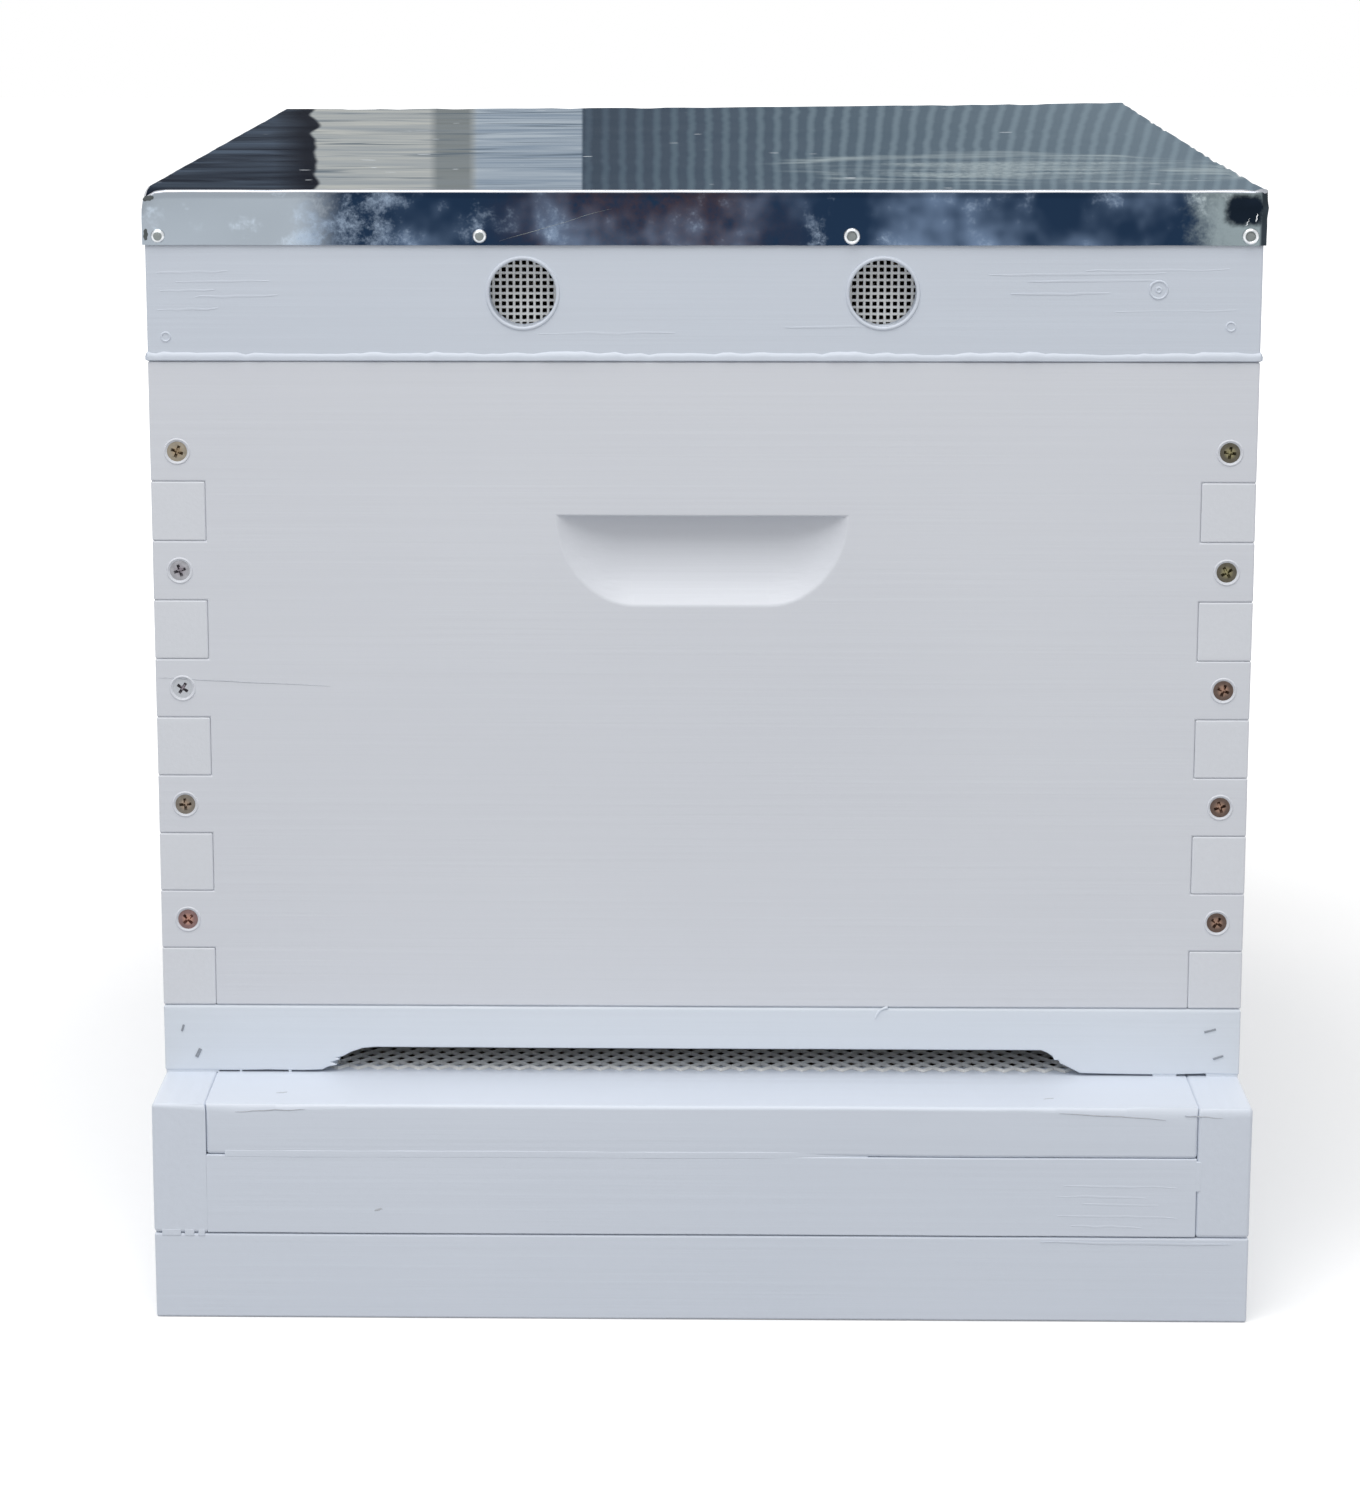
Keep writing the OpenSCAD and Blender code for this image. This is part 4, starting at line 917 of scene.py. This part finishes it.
add("OutputMaterial", {"Surface": skirt})

# Zinc painted lighter along the bend as a highlight, in 6 mm stretches
fold_highlight = mottled("galvanised-sheet-fold", "#c2c5cb", "#9a9ea6", 6.25, 1.0, 0.3)

low, high = extent("metal_cover")
middle, half = (low + high) / 2, (high - low) / 2
bm = bmesh.new()
spread = Matrix.Translation((middle.x, middle.y, high.z)) @ Matrix.Diagonal((half.x, half.y, 1, 1))
bmesh.ops.create_grid(bm, x_segments=44, y_segments=54, size=1, matrix=spread)
for inset in (2.5, 5):
    for axis, sign in ((0, -1), (0, 1), (1, -1), (1, 1)):
        across = Vector([float(axis == k) * sign for k in range(3)])
        spot = middle + across * (half[axis] - inset)
        geom = bm.verts[:] + bm.edges[:] + bm.faces[:]
        bmesh.ops.bisect_plane(bm, geom=geom, plane_co=spot, plane_no=across)
loop = [e for e in bm.edges if e.is_boundary]
skirt_rings = 6
down = Vector((0, 0, (low.z - high.z) / skirt_rings))
for k in range(skirt_rings):
    grown = bmesh.ops.extrude_edge_only(bm, edges=loop)["geom"]
    loop = only(bmesh.types.BMEdge, grown)
    bmesh.ops.translate(bm, verts=only(bmesh.types.BMVert, grown), vec=down)
for f in bm.faces:
    f.material_index = 0 if abs(f.normal.z) > 0.5 else 1
bends = [e for e in bm.edges if e.is_manifold and e.calc_face_angle() > 1]
fold_r = 1.0
# The top of each bend takes the painted highlight
for f in bevel(bm, bends, fold_r, 4)["faces"]:
    if f.calc_center_median().z > high.z - fold_r:
        f.material_index = 2
sprung_up, tuck_by = 3.0, Vector((0.8, 0.3, -3.3))
tuck_x, tuck_y, tuck_z = 6, 14, 8
crumple, crumple_r = Vector((high.x, low.y, high.z - 3)), 13
for v in bm.verts:
    start = v.co.copy()
    # The top lies in shallow waves, and the skirt bulges in and out
    lift = noise.noise(start * 0.014) + 0.5 * noise.noise(start * 0.05)
    in_x, in_y = half.x - abs(start.x - middle.x), half.y - abs(start.y - middle.y)
    edge = min(in_x, in_y)
    if edge > 1.5:
        v.co.z += 0.5 * lift * min(1, edge / 30) - 0.1
    else:
        if in_x < in_y:
            out = Vector((math.copysign(1, start.x - middle.x), 0, 0))
        else:
            out = Vector((0, math.copysign(1, start.y - middle.y), 0))
        v.co += out * 0.25 * lift + Vector((0, 0, 0.15 * noise.noise(start * 0.06)))
    # The right back corner has sprung up
    sprung = (start.x - low.x) / (high.x - low.x) * (start.y - low.y) / (high.y - low.y)
    v.co.z += sprung_up * sprung ** 2 * (start.z - low.z) / (high.z - low.z)
    # The left front corner is tucked in
    if start.z > high.z - tuck_z and start.x < low.x + tuck_x and start.y < low.y + tuck_y:
        tuck = (1 - (start.x - low.x) / tuck_x) * (1 - (start.y - low.y) / tuck_y)
        v.co += tuck_by * tuck * (1 - (high.z - start.z) / tuck_z)
    # The folds on the right and at the back dip unevenly
    if start.z > high.z - 1.5 and (start.x > high.x - 4 or start.y > high.y - 4):
        v.co.z -= 1.9 * max(0, noise.noise(start * 0.11) - 0.1)
    # The right front corner is crumpled
    far = (start - crumple).length
    if far < crumple_r:
        v.co += 1.2 * (1 - far / crumple_r) * noise.noise_vector(start * 0.33)
zinc_looks = [sheet_top, sheet_skirt, fold_highlight]
cover = piece("metal-cover", bm, zinc_looks, "lid", "galvanised_sheet", "metal_cover")
cover.modifiers.clear()
sheet_t = cover.modifiers.new("sheet", "SOLIDIFY")
sheet_t.thickness, sheet_t.offset = 0.0005, -1

# Clouts: short galvanised steel nails with broad dished or domed heads, hammered through the skirt into the
# lid boards. Round them the skirt is nicked and scratched, and its folds don't close at the left corner.

# Bright zinc, a little uneven, with 2 mm patches, coarser than real so that they show
clout_steel = mottled("galvanised-clout", "#f0f2f3", "#bfc4c9", 2.0, 0.9, 0.3)
# Grey grime that has stayed in the dish of a head, and the same grey laid on the middle of the domed heads as
# painted shade, in patches drawn about 1.4 mm wide so that they show
head_grime_and_shade = mottled("grimy-clout-dish", "#6f7677", "#959a98", 1.43, 0.6, 0.5)
clout_z = low.z + 3.3
spots = [(x, low.y, 0) for x in (-198, -81, 54, 198)] + [(x, high.y, math.pi) for x in (-198, -54, 81, 198)]
spots += [(low.x, middle.y + y, -math.pi / 2) for y in (-204, -68, 68, 204)]
spots += [(high.x, middle.y + y, math.pi / 2) for y in (-204, -68, 68, 204)]
head = [
    (0, -0.4), (1.5, -0.4), (1.75, -0.9), (2.1, -1.2), (2.5, -1.15), (2.9, -0.75), (3.1, -0.2), (3.0, 0.2)
]
dome = [(0, -1.5), (0.9, -1.42), (1.6, -1.2), (2.2, -0.8), (2.6, -0.3), (2.6, 0.2)]
shank = [(1.25, 0.3), (1.2, 9.5), (0, 11.5)]
domed, dish_r = (0, 1, 5, 8, 14), 1.68
bm = bmesh.new()
for number, (x, y, turn) in enumerate(spots):
    before = so_far(bm)
    profile = [bm.verts.new((r, d, 0)) for r, d in (dome if number in domed else head) + shank]
    edges = [bm.edges.new(pair) for pair in zip(profile, profile[1:])]
    turned = {"axis": (0, 1, 0), "cent": (0, 0, 0), "steps": 24, "angle": math.tau}
    bmesh.ops.spin(bm, geom=profile + edges, use_merge=True, **turned)
    verts, edges, faces = added(bm, before)
    # In the middle of a domed head the grey is painted shade
    for f in faces:
        spot = f.calc_center_median()
        f.material_index = int(math.hypot(spot.x, spot.z) < dish_r and spot.y < 0)
    place_here = Matrix.Translation((x, y, clout_z)) @ Matrix.Rotation(turn, 4, "Z")
    bmesh.ops.transform(bm, matrix=place_here, verts=verts)
bmesh.ops.remove_doubles(bm, verts=bm.verts, dist=0.001)
piece("cover-clouts", bm, [clout_steel, head_grime_and_shade], "lid", "clout_steel", "cover_clouts")

# Painted shadow in the gaps where the fold does not close, nearly black to the eye
corner_gap_shadow = mottled("corner-shade", "#33393a", "#5d6364", 1.43, 0.0, 0.7)
nicks = [(196.2, 403.2, 197.6, 406.4, 0.5), (199.6, 404.6, 200.4, 407.6, 0.5)]
scratch_line = [(-74, 397.5, -33, 409.5, 0.2)]
gaps = [(-203.2, 412.6, -199.2, 413.5, 1.9), (-202.8, 397.8, -202.2, 402.0, 1.6)]
for name, marked, material in (
    ("skirt-nicks", nicks, clout_steel), ("skirt-scratch", scratch_line, head_grime_and_shade),
    ("skirt-corner-gaps", gaps, corner_gap_shadow),
):
    bm = bmesh.new()
    for x, z, end_x, end_z, wide in marked:
        split(bm, Vector((x, low.y, z)), Vector((end_x, low.y, end_z)), wide, Vector(forward))
    piece(name, bm, [material], "lid", "galvanised_sheet")

# Studio: a floor of pale matt card that runs on into a white surround, and one broad soft lamp that hangs
# high above the front, a little to the left. The camera stands in front and looks down a little.


def seen_directly(add):
    """1 for what the camera, a mirror or a glass shows, and 0 for light that falls on the object."""
    ray = add("LightPath", {})
    mirrored = add("Math", {0: ray["Is Camera Ray"], 1: ray["Is Glossy Ray"]}, operation="MAXIMUM")[0]
    return add("Math", {0: mirrored, 1: ray["Is Transmission Ray"]}, operation="MAXIMUM")[0]


pale_floor, add, place = new_material("pale-floor")
# White card to the eye, which throws back about half the light that falls on it
card = add("Mix", {0: seen_directly(add), 6: tint("#b0b1b3"), 7: tint("#f4f4f4")}, data_type="RGBA")[2]
apart = add("VectorMath", {0: place}, operation="LENGTH")["Value"]
glow = add("MapRange", {0: apart, 1: 0.3, 2: 1.4, 3: 0.14, 4: 0.65})[0]
lit = add("Math", {0: seen_directly(add), 1: glow}, operation="MULTIPLY")[0]
glowing = {"Emission Color": tint("#ffffff"), "Emission Strength": lit}
flat = {"Base Color": card, "Roughness": 1.0, "Specular IOR Level": 0.0, **glowing}
matt = add("BsdfPrincipled", flat)[0]
add("OutputMaterial", {"Surface": matt})
bm = bmesh.new()
bmesh.ops.create_grid(bm, x_segments=1, y_segments=1, size=8)
card_mesh = bpy.data.meshes.new("studio-floor")
bm.to_mesh(card_mesh)
bm.free()
card_mesh.materials.append(pale_floor)
studio_floor = bpy.data.objects.new("studio-floor", card_mesh)
bpy.context.scene.collection.objects.link(studio_floor)
studio_floor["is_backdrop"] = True

world = bpy.data.worlds.new("white-surround")
world.use_nodes = True
world.node_tree.nodes.clear()
add = functools.partial(node, world.node_tree)
strength = add("MapRange", {0: seen_directly(add), 3: 0.66, 4: 1.0})[0]
surround = add("Background", {"Color": tint("#ffffff"), "Strength": strength})[0]
add("OutputWorld", {"Surface": surround})
bpy.context.scene.world = world

lamp = bpy.data.lights.new("soft-box", "AREA")
lamp.shape, lamp.size, lamp.size_y, lamp.energy = "RECTANGLE", 2.4, 2.2, 48
soft_box = bpy.data.objects.new("soft-box", lamp)
soft_box.location = (-0.35, -1.25, 2.6)
soft_box.rotation_euler = (Vector((0, -0.1, 0.2)) - soft_box.location).to_track_quat("-Z", "Y").to_euler()
bpy.context.scene.collection.objects.link(soft_box)

# The lens, in pixels of a picture 1360 wide and 1492 high, and the pixel that it points at
picture_w, picture_h, focal_px, centre_px, centre_py, sensor = 1360, 1492, 3989.4, 627.2, 673.5, 36
lens = bpy.data.cameras.new("camera")
lens.lens, lens.sensor_width = focal_px * sensor / picture_h, sensor
lens.shift_x, lens.shift_y = (picture_w / 2 - centre_px) / picture_h, (centre_py - picture_h / 2) / picture_h
camera = bpy.data.objects.new("camera", lens)
camera.location = (0.0005, -1.6851, 0.5279)
camera.rotation_euler = (math.pi / 2 - 0.19762, 0.00124, 0.01915)
bpy.context.scene.collection.objects.link(camera)
bpy.context.scene.camera = camera
bpy.context.scene.view_settings.view_transform = "Standard"

low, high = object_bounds()
